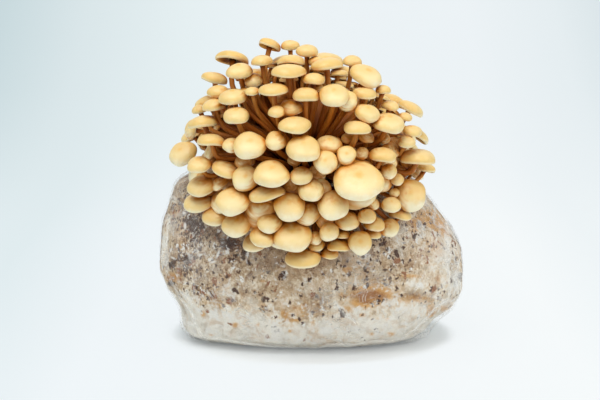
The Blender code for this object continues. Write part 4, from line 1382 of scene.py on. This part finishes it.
LOAF_PATCHES = {
    Paint.SOIL: (
        Patch(194, 232, 16, 34, 0.52), Patch(214, 232, 20, 14, 0.8), Patch(232, 243, 22, 12, 0.86),
        Patch(246, 254, 12, 10, 0.8), Patch(171, 263, 7, 15, 0.66), Patch(203, 292, 17, 9, 0.62),
        # Patch(272, 264) is painted shade: it browns the crumb under the middle of the flush.
        Patch(272, 264, 26, 15, 0.74), Patch(225, 268, 28, 14, 0.56), Patch(318, 262, 26, 9, 0.5),
        Patch(263, 306, 14, 6, 0.72, 50), Patch(245, 304, 18, 8, 0.54),
        Patch(370, 297, 24, 10, 0.78), Patch(352, 296, 16, 9, 0.56), Patch(410, 297, 30, 6, 0.6),
        Patch(438, 280, 4, 12, 0.62), Patch(385, 247, 18, 14, 0.48), Patch(408, 240, 14, 18, 0.38),
        Patch(404, 222, 10, 7, 0.66), Patch(362, 262, 12, 9, 0.48), Patch(408, 266, 20, 8, 0.46),
        Patch(316, 305, 18, 10, 0.48), Patch(436, 314, 8, 7, 0.6),
    ),
    Paint.FLECK: (
        Patch(193, 228, 14, 30, 1), Patch(172, 210, 8, 16, 0.62), Patch(172, 263, 7, 14, 0.7),
        Patch(188, 262, 11, 20, 0.75), Patch(222, 250, 26, 14, 0.56),
        Patch(222, 272, 30, 12, 0.28), Patch(203, 290, 18, 12, 0.55), Patch(250, 262, 10, 12, 0.3),
        Patch(268, 274, 8, 6, 0.42), Patch(376, 252, 20, 16, 0.46), Patch(392, 274, 20, 12, 0.34),
        Patch(424, 240, 22, 22, 0.34), Patch(450, 262, 14, 26, 0.3), Patch(440, 296, 18, 14, 0.3),
        Patch(374, 300, 20, 8, 0.18), Patch(284, 298, 40, 14, 0.08),
    ),
    Paint.DARK: (
        Patch(180, 203, 4, 5, 0.6), Patch(191, 222, 8, 8, 0.8), Patch(196, 230, 4, 4, 0.5),
        Patch(222, 239, 4, 4, 0.6), Patch(232, 243, 12, 6, 0.74), Patch(244, 253, 4, 4, 0.85),
        Patch(243, 258, 3, 3, 0.85), Patch(237, 255, 4, 2, 0.75), Patch(250, 264, 3, 3, 0.78),
        Patch(268, 272, 4, 3, 0.7), Patch(255, 277, 3, 2, 0.6), Patch(171, 283, 5, 4, 0.8),
        Patch(172, 264, 4, 6, 0.7), Patch(187, 258, 5, 6, 0.66), Patch(264, 300, 4, 5, 0.62, -35),
        Patch(263, 311, 6, 1.4, 0.72, 38), Patch(255, 292, 2.4, 2.2, 0.72),
        Patch(203, 306, 2.2, 2, 0.75), Patch(221, 311, 2.4, 2, 0.7),
        Patch(267, 326, 2.2, 1.8, 0.6), Patch(275, 327, 2.2, 1.8, 0.6),
        Patch(338, 261, 3, 2.4, 0.72), Patch(363, 257, 2.2, 2.8, 0.95), Patch(358, 263, 3, 3, 0.8),
        Patch(365, 269, 2.6, 3.4, 0.95), Patch(368, 264, 2, 1.8, 0.85),
        Patch(385, 270, 3, 2.2, 0.85), Patch(389, 258, 2.2, 2, 0.75),
        Patch(382, 244, 3, 3.4, 0.78), Patch(387, 249, 3, 3, 0.75), Patch(384, 280, 3, 1.8, 0.85),
        Patch(390, 278, 2.4, 2.6, 0.8, 40), Patch(386, 285, 2.4, 2.2, 0.85),
        Patch(402, 260, 3, 1.8, 0.78), Patch(406, 270, 3, 3, 0.6), Patch(414, 237, 2.6, 2.6, 0.95),
        Patch(404, 243, 2.4, 2, 0.7), Patch(424, 229, 2.2, 2.2, 0.72), Patch(401, 224, 5, 4, 0.55),
        Patch(461, 277, 3, 6, 1, -15), Patch(421, 303, 2.2, 1.6, 0.62),
        Patch(439, 289, 2.4, 2.2, 0.62),
    ),
    Paint.PALE: (
        Patch(164, 236, 9, 42, 1), Patch(185, 300, 9, 24, 0.8), Patch(226, 290, 10, 8, 0.8),
        Patch(256, 284, 12, 6, 0.8), Patch(285, 300, 22, 8, 0.8), Patch(292, 315, 10, 5, 0.9, -15),
        Patch(318, 284, 26, 10, 0.55), Patch(350, 284, 12, 5, 0.6), Patch(334, 306, 6, 8, 0.6),
        Patch(412, 284, 18, 5, 0.75), Patch(448, 250, 14, 18, 0.6), Patch(452, 280, 12, 12, 0.7),
        Patch(408, 310, 18, 5, 0.85), Patch(446, 304, 10, 4, 0.75), Patch(432, 236, 20, 16, 0.6),
    ),
    Paint.WHITE: (
        Patch(185, 226, 2, 5, 0.85), Patch(184, 213, 2.4, 3, 0.75, -40),
        Patch(190, 211, 2, 3, 0.6), Patch(218, 254, 1.8, 7, 0.85, 20),
        Patch(213, 262, 5, 1.8, 0.8, -15), Patch(224, 254, 3, 1.4, 0.7),
        Patch(173, 258, 5, 1.6, 0.7, 25), Patch(338, 306, 1.8, 9, 0.75, -28),
        Patch(349, 318, 8, 1.6, 0.65, 20), Patch(420, 285, 5, 3.4, 0.9),
        Patch(399, 309, 6, 2.4, 0.8, -20), Patch(387, 304, 2.4, 2, 0.75),
        Patch(387, 291, 4, 1.6, 0.7, -20), Patch(456, 285, 4, 3, 0.9), Patch(449, 294, 6, 2, 0.6),
        Patch(448, 272, 1.6, 9, 0.6, 15), Patch(459, 262, 1.6, 9, 0.65, 10),
        Patch(417, 224, 1.8, 5, 0.6), Patch(424, 226, 3, 2, 0.6), Patch(276, 271, 3, 2, 0.55),
        Patch(384, 254, 5, 2, 0.55),
    ),
    Paint.RUST: (
        Patch(438, 223, 17, 9, 1.5, 38), Patch(428, 215, 11, 5, 0.8, 30),
        Patch(446, 232, 5, 4, 0.6, 45), Patch(434, 246, 20, 14, 0.45, 38),
        Patch(419, 222, 11, 7, 1), Patch(414, 299, 32, 6, 0.55), Patch(182, 246, 12, 22, 0.35),
        Patch(205, 300, 16, 10, 0.4), Patch(300, 310, 26, 10, 0.5), Patch(414, 230, 6, 5, 0.55),
        Patch(172, 278, 8, 6, 1), Patch(175, 214, 5, 4, 0.6), Patch(347, 270, 7, 4, 0.75),
        Patch(342, 295, 5, 4, 0.6), Patch(360, 292, 14, 5, 0.6), Patch(348, 309, 6, 4, 0.75, 45),
        Patch(362, 315, 4, 3, 0.8), Patch(373, 294, 26, 11, 1), Patch(364, 303, 18, 7, 0.9),
        Patch(412, 276, 18, 3, 0.6), Patch(438, 279, 3, 8, 0.6), Patch(431, 312, 5, 9, 1),
        Patch(444, 309, 10, 4, 0.8), Patch(452, 306, 6, 4, 0.6), Patch(285, 315, 6, 4, 0.95, 45),
        Patch(292, 320, 10, 2.4, 0.9), Patch(295, 308, 4, 2, 0.75), Patch(303, 316, 3, 2, 0.7),
        Patch(262, 305, 5, 7, 0.45), Patch(263, 281, 4, 2, 0.6), Patch(220, 304, 3, 5, 0.6),
        Patch(203, 314, 3, 4, 0.75), Patch(220, 275, 2, 2, 0.75), Patch(235, 325, 3, 3.4, 1),
        Patch(211, 335, 3, 1.6, 0.75), Patch(258, 325, 3, 3, 0.65), Patch(290, 331, 2.4, 2, 0.85),
        Patch(313, 323, 2.4, 4, 0.6), Patch(372, 334, 3, 2.4, 0.7), Patch(391, 334, 4, 2.4, 0.85),
        Patch(387, 319, 3, 3, 0.6),
    ),
}


@dataclass
class SkinGrid:
    """An even net of points thrown onto a solid from inside it, closer set toward the front."""

    centre: tuple = (0.0, 0.0, 60 * MM)
    reach: tuple = (101 * MM, 62 * MM, 61 * MM)
    steps: int = 50
    closer: float = 1.15
    far: float = 400 * MM
    missed: float = 60 * MM

    def net(self) -> tuple[np.ndarray, np.ndarray]:
        """Points of a ball of small triangles and its faces.

        Returns:
            The points and the faces.
        """
        bm = bmesh.new()
        bmesh.ops.create_icosphere(bm, subdivisions=1, radius=1.0)
        corners = np.array([vert.co[:] for vert in bm.verts])
        sides = [[vert.index for vert in face.verts] for face in bm.faces]
        bm.free()
        steps = self.steps
        lattice = [(i, j) for i in range(steps + 1) for j in range(steps + 1 - i)]
        number = {place: count for count, place in enumerate(lattice)}
        small = [
            (number[i, j], number[i + 1, j], number[i, j + 1]) for i, j in lattice if i + j < steps
        ]
        small += [
            (number[i + 1, j], number[i + 1, j + 1], number[i, j + 1])
            for i, j in lattice if i + j < steps - 1
        ]
        along = np.array(lattice)
        shares = np.zeros((len(sides), len(lattice), len(corners)), np.int16)
        for row, (first, second, third) in enumerate(sides):
            shares[row, :, first] = steps - along.sum(axis=1)
            shares[row, :, second] = along[:, 0]
            shares[row, :, third] = along[:, 1]
        shares, index = np.unique(shares.reshape(-1, len(corners)), axis=0, return_inverse=True)
        index = index.reshape(len(sides), len(lattice))
        faces = index[:, np.array(small)].reshape(-1, 3)
        return self.gathered(unit(shares @ corners)), faces

    def gathered(self, ways: np.ndarray) -> np.ndarray:
        """Draws the ways of a ball together toward the front, the more the closer set.

        Args:
            ways: The ways.

        Returns:
            The new ways.
        """
        level = -ways[:, 1]
        spread = np.sqrt((1 - level) / np.maximum(1 + level, 1e-9)) / self.closer
        new_level = (1 - spread**2) / (1 + spread**2)
        aside = ways + level[:, None] * (0.0, 1.0, 0.0)
        aside = unit(aside) * np.sqrt(np.maximum(1 - new_level**2, 0))[:, None]
        return aside - new_level[:, None] * (0.0, 1.0, 0.0)

    def throw(self, solid: BVHTree) -> tuple[np.ndarray, np.ndarray, np.ndarray]:
        """Throws the net onto a solid's outermost surface.

        Args:
            solid: What the rays meet.

        Returns:
            The points, which of them met the solid, and the faces.
        """
        ways, faces = self.net()
        ways = unit(ways * np.array(self.reach))
        centre = Vector(self.centre)
        points, met = np.empty_like(ways), np.zeros(len(ways), bool)
        for number, way in enumerate(ways):
            heading = Vector(way)
            hit = solid.ray_cast(centre + heading * self.far, -heading, self.far)[0]
            met[number] = hit is not None
            points[number] = hit if hit is not None else centre + heading * self.missed
        return points, met, faces


def edges_of(faces: np.ndarray) -> tuple[np.ndarray, np.ndarray]:
    """Edges of a net of triangles, and how many of its faces meet at each."""
    edges = np.concatenate((faces[:, [0, 1]], faces[:, [1, 2]], faces[:, [2, 0]]))
    return np.unique(np.sort(edges, axis=1), axis=0, return_counts=True)


def relax(points: np.ndarray, faces: np.ndarray, rounds: int,
          hold: np.ndarray | None = None) -> np.ndarray:
    """Evens out facets by drawing every point toward its neighbours' middle.

    Args:
        points: The net's points.
        faces: Its faces.
        rounds: How often to do it.
        hold: Marks the points that stay.

    Returns:
        The new points.
    """
    edges, _ = edges_of(faces)
    count = np.bincount(edges.ravel(), minlength=len(points)).astype(float)
    for _ in range(rounds):
        total = np.zeros_like(points)
        np.add.at(total, edges[:, 0], points[edges[:, 1]])
        np.add.at(total, edges[:, 1], points[edges[:, 0]])
        moved = points + 0.6 * (total / np.maximum(count, 1)[:, None] - points)
        points = moved if hold is None else np.where(hold[:, None], points, moved)
    return points


def normals_of(points: np.ndarray, faces: np.ndarray) -> np.ndarray:
    """Outward way at each point.

    Args:
        points: The net's points.
        faces: Its faces.

    Returns:
        The ways.
    """
    corners = points[faces]
    across = np.cross(corners[:, 1] - corners[:, 0], corners[:, 2] - corners[:, 0])
    total = np.zeros_like(points)
    for corner in range(3):
        np.add.at(total, faces[:, corner], across)
    return unit(total)


def noise_at(points: np.ndarray, scale: float, octaves: int = 4, seed: float = 0.0) -> np.ndarray:
    """Layered noise of about -1 to 1 at each point; scale counts its cells in a metre."""
    shift = Vector((seed, 1.7 * seed, -seed))
    return np.array([
        noise.fractal(Vector(point) * scale + shift, 1.0, 2.0, octaves) for point in points
    ])


@dataclass(frozen=True)
class Streak:
    """A white fold line in the plane that faces the photograph, end to end: partly milky, partly
    painted highlight.
    """

    start: tuple
    end: tuple
    width: float = 0.6 * MM
    amount: float = 0.8
    wander: float = 2.6 * MM
    wander_noise: tuple = (60, 3, 21.0)
    soft_start: float = 0.08
    soft_span: float = 0.84

    def share(self, points: np.ndarray) -> np.ndarray:
        """How white each point of the front is made by this line.

        Args:
            points: The film's points.

        Returns:
            One share for each point.
        """
        start, end = np.array(self.start) * MM, np.array(self.end) * MM
        run, at = end - start, points[:, [0, 2]] - start
        part = np.clip(at @ run / (run @ run), 0, 1)
        wander = noise_at(points, *self.wander_noise) * self.wander
        off = at - part[:, None] * run
        aside = (off[:, 0] * run[1] - off[:, 1] * run[0]) / np.linalg.norm(run) + wander
        beyond = np.linalg.norm(off, axis=1)
        near = np.exp(-((aside / self.width) ** 2)) * (beyond < 4 * self.width + self.wander)
        ends = np.sin(np.pi * (self.soft_start + self.soft_span * part))
        return near * self.amount * ends * (points[:, 1] < 0)


FILM_STREAKS = (
    Streak((-90, 90), (-93, 44), 0.8 * MM),
    Streak((-84, 74), (-86, 34), 0.6 * MM, 0.6),
    Streak((-86, 40), (-66, 3), 0.9 * MM, 0.9),
    Streak((-80, 26), (-72, 58), 0.6 * MM, 0.6),
    Streak((84, 62), (96, 34), 0.8 * MM),
    Streak((90, 84), (97, 62), 0.7 * MM, 0.7),
    Streak((70, 40), (95, 28), 0.8 * MM, 0.8),
    Streak((60, 12), (84, 32), 0.8 * MM, 0.9),
    Streak((-66, 9), (-6, 5), 1.0 * MM, 0.9),
    Streak((-16, 4), (66, 9), 1.0 * MM, 0.9),
    Streak((16, 34), (30, 18), 0.6 * MM, 0.6),
    Streak((60, 40), (74, 58), 0.6 * MM, 0.6),
    Streak((-58, 66), (-52, 88), 0.6 * MM, 0.6),
)


@dataclass(frozen=True)
class Nudge:
    """A soft push on the loaf and its film in the plane that faces the photograph, in mm."""

    x: float
    z: float
    push_x: float
    push_z: float
    radius: float


SKIN_NUDGES = (
    Nudge(-74, 3, -4, -1, 14),
    Nudge(84, 18, -6, 1, 13),
    Nudge(-92, 52, -1.5, 0, 9),
    Nudge(-91, 25, 2, 0, 9),
)


def nudged(points: np.ndarray) -> np.ndarray:
    """Draws the skin out to the corners that the photograph shows.

    Args:
        points: The skin's points.

    Returns:
        The new points.
    """
    moved = points.copy()
    for nudge in SKIN_NUDGES:
        aside = (points[:, 0] / MM - nudge.x) ** 2 + (points[:, 2] / MM - nudge.z) ** 2
        share = np.exp(-aside / nudge.radius**2) * MM
        moved[:, 0] += share * nudge.push_x
        moved[:, 2] += share * nudge.push_z
    return moved


@dataclass
class Loaf:
    """The substrate block: a rough crumb surface with its painted patches."""

    tree: BVHTree
    view: PhotoView = PhotoView()
    steps: int = 96
    closer: float = 1.4
    rounds: int = 22
    roughness: float = 0.5 * MM
    crumb_noise: tuple = (110, 5)
    line_noise: tuple = (34, 4, 11.0)
    soil_noise: tuple = (18, 3, 3.0)
    sunk: float = 0.25 * MM
    lowest: float = 1.1 * MM
    side: float = 80 * MM
    pale_top: float = 20 * MM
    pale_rise: float = 11 * MM
    pale_blur: float = 17 * MM
    pale_left: float = 0.4
    pale_most: float = 0.7
    pale_lost: float = 0.8
    least_soil: float = 0.10
    soil_left: float = 0.42
    soil_lost: float = 0.28
    soil_behind: tuple = (0.15, 0.62)
    least_fleck: float = 0.03
    fleck_front: float = 0.06
    fleck_spread: tuple = (0.8, 0.1)
    fleck_behind: tuple = (0.05, 0.6)
    blots: tuple = (
        (Paint.WHITE, 60, 13.0, 0.2, 0.7), (Paint.RUST, 30, 7.0, 0.15, 0.7),
        (Paint.DARK, 45, 5.0, 0.42, 0.6),
    )

    def build(self) -> bpy.types.Object:
        """Makes the loaf's piece.

        Returns:
            The piece.
        """
        points, _, faces = SkinGrid(steps=self.steps, closer=self.closer).throw(self.tree)
        points = nudged(relax(points, faces, self.rounds))
        ways = normals_of(points, faces)
        rough = noise_at(points, *self.crumb_noise) * self.roughness
        points = points + ways * (rough - self.sunk)[:, None]
        points[:, 2] = np.maximum(points[:, 2], self.lowest)
        painted = self.paint(points, ways)
        piece = make_object("grown_substrate", points.tolist(), faces.tolist(),
                            [LoafCrumb().make()], painted)
        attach(piece, BODY)
        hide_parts("substrate_block")
        log.info("%s: %d points", piece.name, len(points))
        return piece

    def paint(self, points: np.ndarray, ways: np.ndarray) -> dict[str, np.ndarray]:
        """Painted values: the photographed side by its marks, and the same kinds all over.

        Args:
            points: The loaf's points.
            ways: The way that it faces at each.

        Returns:
            Each painted value by its name.
        """
        toward = unit(self.view.eye() - points)
        front = np.clip((ways * toward).sum(axis=1) * 4, 0, 1)
        other = 1 - front
        column, row = self.view.pixels(points)
        left, right = (np.clip(way * points[:, 0] / self.side, 0, 1) for way in (-1, 1))
        wavy = noise_at(points, *self.line_noise) + self.pale_left * left
        line = self.pale_top + self.pale_rise * wavy
        upper = np.clip((points[:, 2] - line) / self.pale_blur, 0, 1)
        spread = 0.5 + 0.5 * noise_at(points, *self.soil_noise)
        soil = front * (self.soil_left - self.soil_lost * right)
        soil = soil + other * np.clip(spread, *self.soil_behind)
        stretch, drop = self.fleck_spread
        fleck = other * np.clip(spread * stretch - drop, *self.fleck_behind)
        fleck = self.fleck_front * front + fleck
        values = {
            Paint.SOIL: self.least_soil + upper * soil,
            Paint.FLECK: self.least_fleck + upper * fleck,
            Paint.PALE: self.pale_most * (1 - upper),
        }
        for paint, scale, seed, start, most in self.blots:
            blots = np.clip(noise_at(points, scale, 3, seed) - start, 0, most)
            values[paint] = upper * other * blots
        for paint, patches in LOAF_PATCHES.items():
            shares = [front * patch.share(column, row) for patch in patches]
            values[paint] = np.maximum.reduce([values[paint], *shares])
        values[Paint.PALE] = values[Paint.PALE] * (1 - self.pale_lost * values[Paint.RUST])
        return {paint.value: value for paint, value in values.items()}


@dataclass
class Film:
    """The clear film: a creased sheet round the loaf, open where the flush comes out."""

    tree: BVHTree
    thickness: float = 0.15 * MM
    folds: float = 0.9 * MM
    ripple: float = 0.25 * MM
    warp: float = 12 * MM
    half_width: float = 101 * MM
    flat_below: float = 6 * MM
    hazy_below: float = 24 * MM
    warp_noise: tuple = (22, 3)
    ridge_noise: tuple = (48, 3, 9.0)
    slack_noise: tuple = (12, 2, 4.0)
    veil_noise: tuple = (26, 3, 17.0)
    drawn_out: tuple = (0.5, 0.5, 1.1)
    ridge_sharp: float = 7
    slack_spread: tuple = (1.6, 0.15)
    ends_spread: tuple = (1.8, 0.8)
    slack_ends: float = 0.7
    edge_on: float = 0.35
    light_spread: tuple = (1.4, 0.1)
    veil_least: float = 0.2
    haze_shares: tuple = (0.05, 0.22, 0.26)
    white_shares: tuple = (0.5, 0.4)

    def build(self) -> bpy.types.Object:
        """Makes the film's piece.

        Returns:
            The piece.
        """
        points, met, faces = SkinGrid().throw(self.tree)
        faces = faces[met[faces].all(axis=1)]
        used = np.unique(faces)
        index = np.full(len(points), -1)
        index[used] = np.arange(len(used))
        points, faces = points[used], index[faces]
        open_edge = self.open_points(faces, len(points))
        points = nudged(relax(points, faces, 5, open_edge))
        ways = normals_of(points, faces)
        crease_and_glint, haze, lift = self.creases(points, ways)
        points = relax(points + ways * lift[:, None], faces, 4, open_edge)
        points[:, 2] = np.maximum(points[:, 2], 0.0)
        piece = make_object("creased_film", points.tolist(), faces.tolist(), [ClearFilm().make()],
                            {"crease_and_glint": crease_and_glint, "haze": haze})
        wall = piece.modifiers.new("wall", "SOLIDIFY")
        wall.thickness = self.thickness
        wall.offset = -1.0
        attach(piece, BODY)
        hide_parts("film_bag")
        log.info("%s: %d points", piece.name, len(points))
        return piece

    def open_points(self, faces: np.ndarray, count: int) -> np.ndarray:
        """Marks the points along the mouth.

        Args:
            faces: The film's faces.
            count: How many points it has.

        Returns:
            True for each point along the mouth.
        """
        edges, times = edges_of(faces)
        marks = np.zeros(count, bool)
        marks[edges[times == 1].ravel()] = True
        return marks

    def creases(self, points: np.ndarray, ways: np.ndarray) -> tuple[np.ndarray, ...]:
        """How white, how hazy and how far out each point of the film is; the white is partly milky
        and partly painted highlight.

        Args:
            points: The film's points.
            ways: The way that it faces at each.

        Returns:
            The whiteness, the haze and the lift in metres.
        """
        warps = [noise_at(points, *self.warp_noise, seed) for seed in (1.0, 2.0, 3.0)]
        warp = np.stack(warps, axis=1)
        bent = points + warp * self.warp
        off_ridge = np.abs(noise_at(bent * self.drawn_out, *self.ridge_noise)) * self.ridge_sharp
        ridge = np.clip(1 - off_ridge, 0, 1)
        stretch, rise = self.slack_spread
        slack = np.clip(noise_at(points, *self.slack_noise) * stretch + rise, 0, 1)
        stretch, drop = self.ends_spread
        ends = np.clip(np.abs(points[:, 0]) / self.half_width * stretch - drop, 0, 1)
        slack = np.clip(slack + self.slack_ends * ends, 0, 1)
        free = np.clip(points[:, 2] / self.flat_below, 0, 1)
        lift = (ridge * slack * self.folds + self.ripple * warp[:, 0]) * free
        edge = np.clip((self.edge_on - np.abs(ways[:, 1])) * 2, 0, 1)
        edge = edge * np.clip(1 - ways[:, 2] * 2, 0, 1)
        stretch, least = self.light_spread
        lit = np.clip(1 + ways[:, 2] * stretch, least, 1)
        low_haze = np.clip(1 - points[:, 2] / self.hazy_below, 0, 1) * lit
        veil = np.clip(noise_at(points, *self.veil_noise) + self.veil_least, 0, 1)
        on_edge, on_low, on_ends = self.haze_shares
        haze = on_edge * edge + on_low * low_haze + on_ends * veil * ends
        # White along ridges and listed streaks: partly the film's own milky folds, partly painted
        # highlight.
        all_over, more_at_ends = self.white_shares
        white = ridge * slack * (all_over + more_at_ends * ends)
        for streak in FILM_STREAKS:
            white = np.maximum(white, streak.share(points))
        return np.clip(white, 0, 1), haze, lift


@dataclass(frozen=True)
class Lamp:
    """A square soft lamp that looks at the flush."""

    name: str
    place: tuple
    size: float
    power: float
    aim: tuple = (0.0, 0.0, 100 * MM)

    def add(self) -> None:
        """Hangs the lamp."""
        data = bpy.data.lights.new(self.name, "AREA")
        data.shape = "SQUARE"
        data.size = self.size
        data.energy = self.power
        lamp = bpy.data.objects.new(self.name, data)
        lamp.location = self.place
        heading = Vector(self.aim) - Vector(self.place)
        lamp.rotation_euler = heading.to_track_quat("-Z", "Y").to_euler()
        bpy.context.scene.collection.objects.link(lamp)


@dataclass
class Studio:
    """Pale table and backdrop, soft lamps, and the camera of the photograph."""

    view: PhotoView = PhotoView()
    sensor: float = 36.0
    table_start: float = -1.6
    table_end: float = 1.3
    table_side: float = 3.0
    bend_radius: float = 0.9
    bend_steps: int = 12
    wall_height: float = 3.0
    wall_half: float = 0.47
    table_half: float = 0.24
    wall_from: tuple = (0.25, 0.8)
    footprint: tuple = (94 * MM, 67 * MM)
    shade_edge: tuple = (0.92, 1.04)
    cleared: float = 0.92
    cleared_near: float = 0.2
    sky_light: float = 0.38
    seen: tuple = (236, 244, 246)
    lamps: tuple = (
        Lamp("key_lamp", (-0.3, -0.45, 1.45), 0.9, 11.5),
        Lamp("fill_lamp", (1.0, -0.7, 0.9), 1.2, 4.5),
    )

    def build(self) -> None:
        """Sets up the whole studio."""
        self.add_camera()
        self.add_table()
        for lamp in self.lamps:
            lamp.add()
        self.add_world()
        bpy.context.scene.view_settings.view_transform = "Standard"

    def add_camera(self) -> None:
        """Places the camera and sets its lens from the photograph's scale."""
        data = bpy.data.cameras.new("camera")
        data.sensor_width = self.sensor
        data.lens = self.view.focal_pixels() / self.view.width * self.sensor
        data.clip_end = 20.0
        camera = bpy.data.objects.new("camera", data)
        camera.location = self.view.eye()
        camera.rotation_euler = Vector(-self.view.away()).to_track_quat("-Z", "Y").to_euler()
        bpy.context.scene.collection.objects.link(camera)
        bpy.context.scene.camera = camera

    def add_table(self) -> None:
        """Lays a table that curves up into the backdrop."""
        radius, foot = self.bend_radius, self.table_end - self.bend_radius
        profile = [(self.table_start, 0.0)]
        for step in range(self.bend_steps + 1):
            turn = step / self.bend_steps * math.pi / 2
            profile.append((foot + radius * math.sin(turn), radius - radius * math.cos(turn)))
        profile.append((self.table_end, self.wall_height))
        points = [(side * self.table_side, along, up) for along, up in profile for side in (-1, 1)]
        starts = range(0, 2 * len(profile) - 2, 2)
        faces = [(start, start + 1, start + 3, start + 2) for start in starts]
        table = make_object("table", points, faces, [self.table_finish()])

    def table_finish(self) -> bpy.types.Material:
        """Matt white table and a cooler wall, both with painted shade toward the sides.

        The table's plain colour shows outside the loaf's footprint. Under and near the loaf it
        takes the lamps' light, so that the loaf stands in a soft shade.

        Returns:
            The material.
        """
        n = new_sketch("table_white")
        wall = n.stops(
            self.across(n, self.wall_half), (0.0, 188, 206, 211), (0.1, 204, 220, 224),
            (0.2, 219, 231, 234), (0.34, 230, 240, 242), (0.45, 236, 243, 246),
            (0.72, 237, 243, 246), (0.84, 230, 238, 241), (1.0, 206, 219, 223),
        )
        table = n.stops(
            self.across(n, self.table_half), (0.0, 225, 236, 239), (0.2, 239, 245, 248),
            (0.4, 242, 247, 249), (0.85, 245, 249, 250), (1.0, 238, 244, 246),
        )
        deep_in = n.wire("SeparateXYZ", None, "Y", Vector=n.wire("TexCoord", output="Object"))
        colour = n.mix(n.ramp(deep_in, *self.wall_from), table, wall)
        cloth = n.wire("BsdfPrincipled", Base_Color=colour, Roughness=0.7, Specular_IOR_Level=0.2)
        plain = n.wire("Emission", Color=colour, Strength=1.0)
        wide, deep = self.footprint
        away = n.wire("VectorMath", {"operation": "LENGTH"}, "Value",
                      in_0=n.place((1 / wide, 1 / deep, 0)))
        cleared = n.seen() * n.ramp(away, *self.shade_edge, self.cleared_near, self.cleared)
        return n.finish(n.wire("MixShader", Fac=cleared, in_1=cloth, in_2=plain))

    def across(self, n: NodeSketch, half: float) -> Wire:
        """Runs from 0 at the left to 1 at the right over twice a half width."""
        side = n.wire("SeparateXYZ", None, "X", Vector=n.wire("TexCoord", output="Object"))
        return n.math("ADD", side * (0.5 / half), 0.5, clamp=True)

    def add_world(self) -> None:
        """Lights evenly from all round, more from above; a pale colour is all that is seen."""
        world = bpy.data.worlds.new("studio")
        n = NodeSketch(world)
        up = n.wire("SeparateXYZ", None, "Z", Vector=n.wire("TexCoord", output="Generated"))
        strength = n.ramp(up, 0.0, 1.0, 0.0, self.sky_light) + self.sky_light
        light = n.wire("Background", Color=(1.0, 1.0, 1.0, 1.0), Strength=strength)
        plain = n.wire("Background", Color=linear(*self.seen), Strength=1.0)
        both = n.wire("MixShader", Fac=n.seen(), in_1=light, in_2=plain)
        n.add("OutputWorld", Surface=both)
        bpy.context.scene.world = world


def tree_of(*nodes: bpy.types.Object) -> BVHTree:
    """Solids as one tree that rays and nearest points can be asked of.

    Args:
        *nodes: The solids.

    Returns:
        The tree.
    """
    points: list[Vector] = []
    faces: list[list[int]] = []
    for node in nodes:
        first = len(points)
        points.extend(vertex.co.copy() for vertex in node.data.vertices)
        faces.extend(
            [first + corner for corner in polygon.vertices] for polygon in node.data.polygons
        )
    return BVHTree.FromPolygons(points, faces)


def corners(box: object) -> list[list[float]]:
    """A box's two corners as plain numbers."""
    low, high = box
    return [[float(value) for value in low], [float(value) for value in high]]


def main() -> None:
    logging.basicConfig(level=logging.INFO, format="%(message)s")
    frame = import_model()
    for obj in [item for item in bpy.data.objects if item.name in ("Cube", "Light", "Camera")]:
        bpy.data.objects.remove(obj)
    Studio().build()
    block = tree_of(frame["nodes"]["substrate_block"])
    Loaf(block).build()
    Film(tree_of(frame["nodes"]["film_bag"])).build()
    Flush(frame, block).build()


if __name__ == "__main__":
    main()
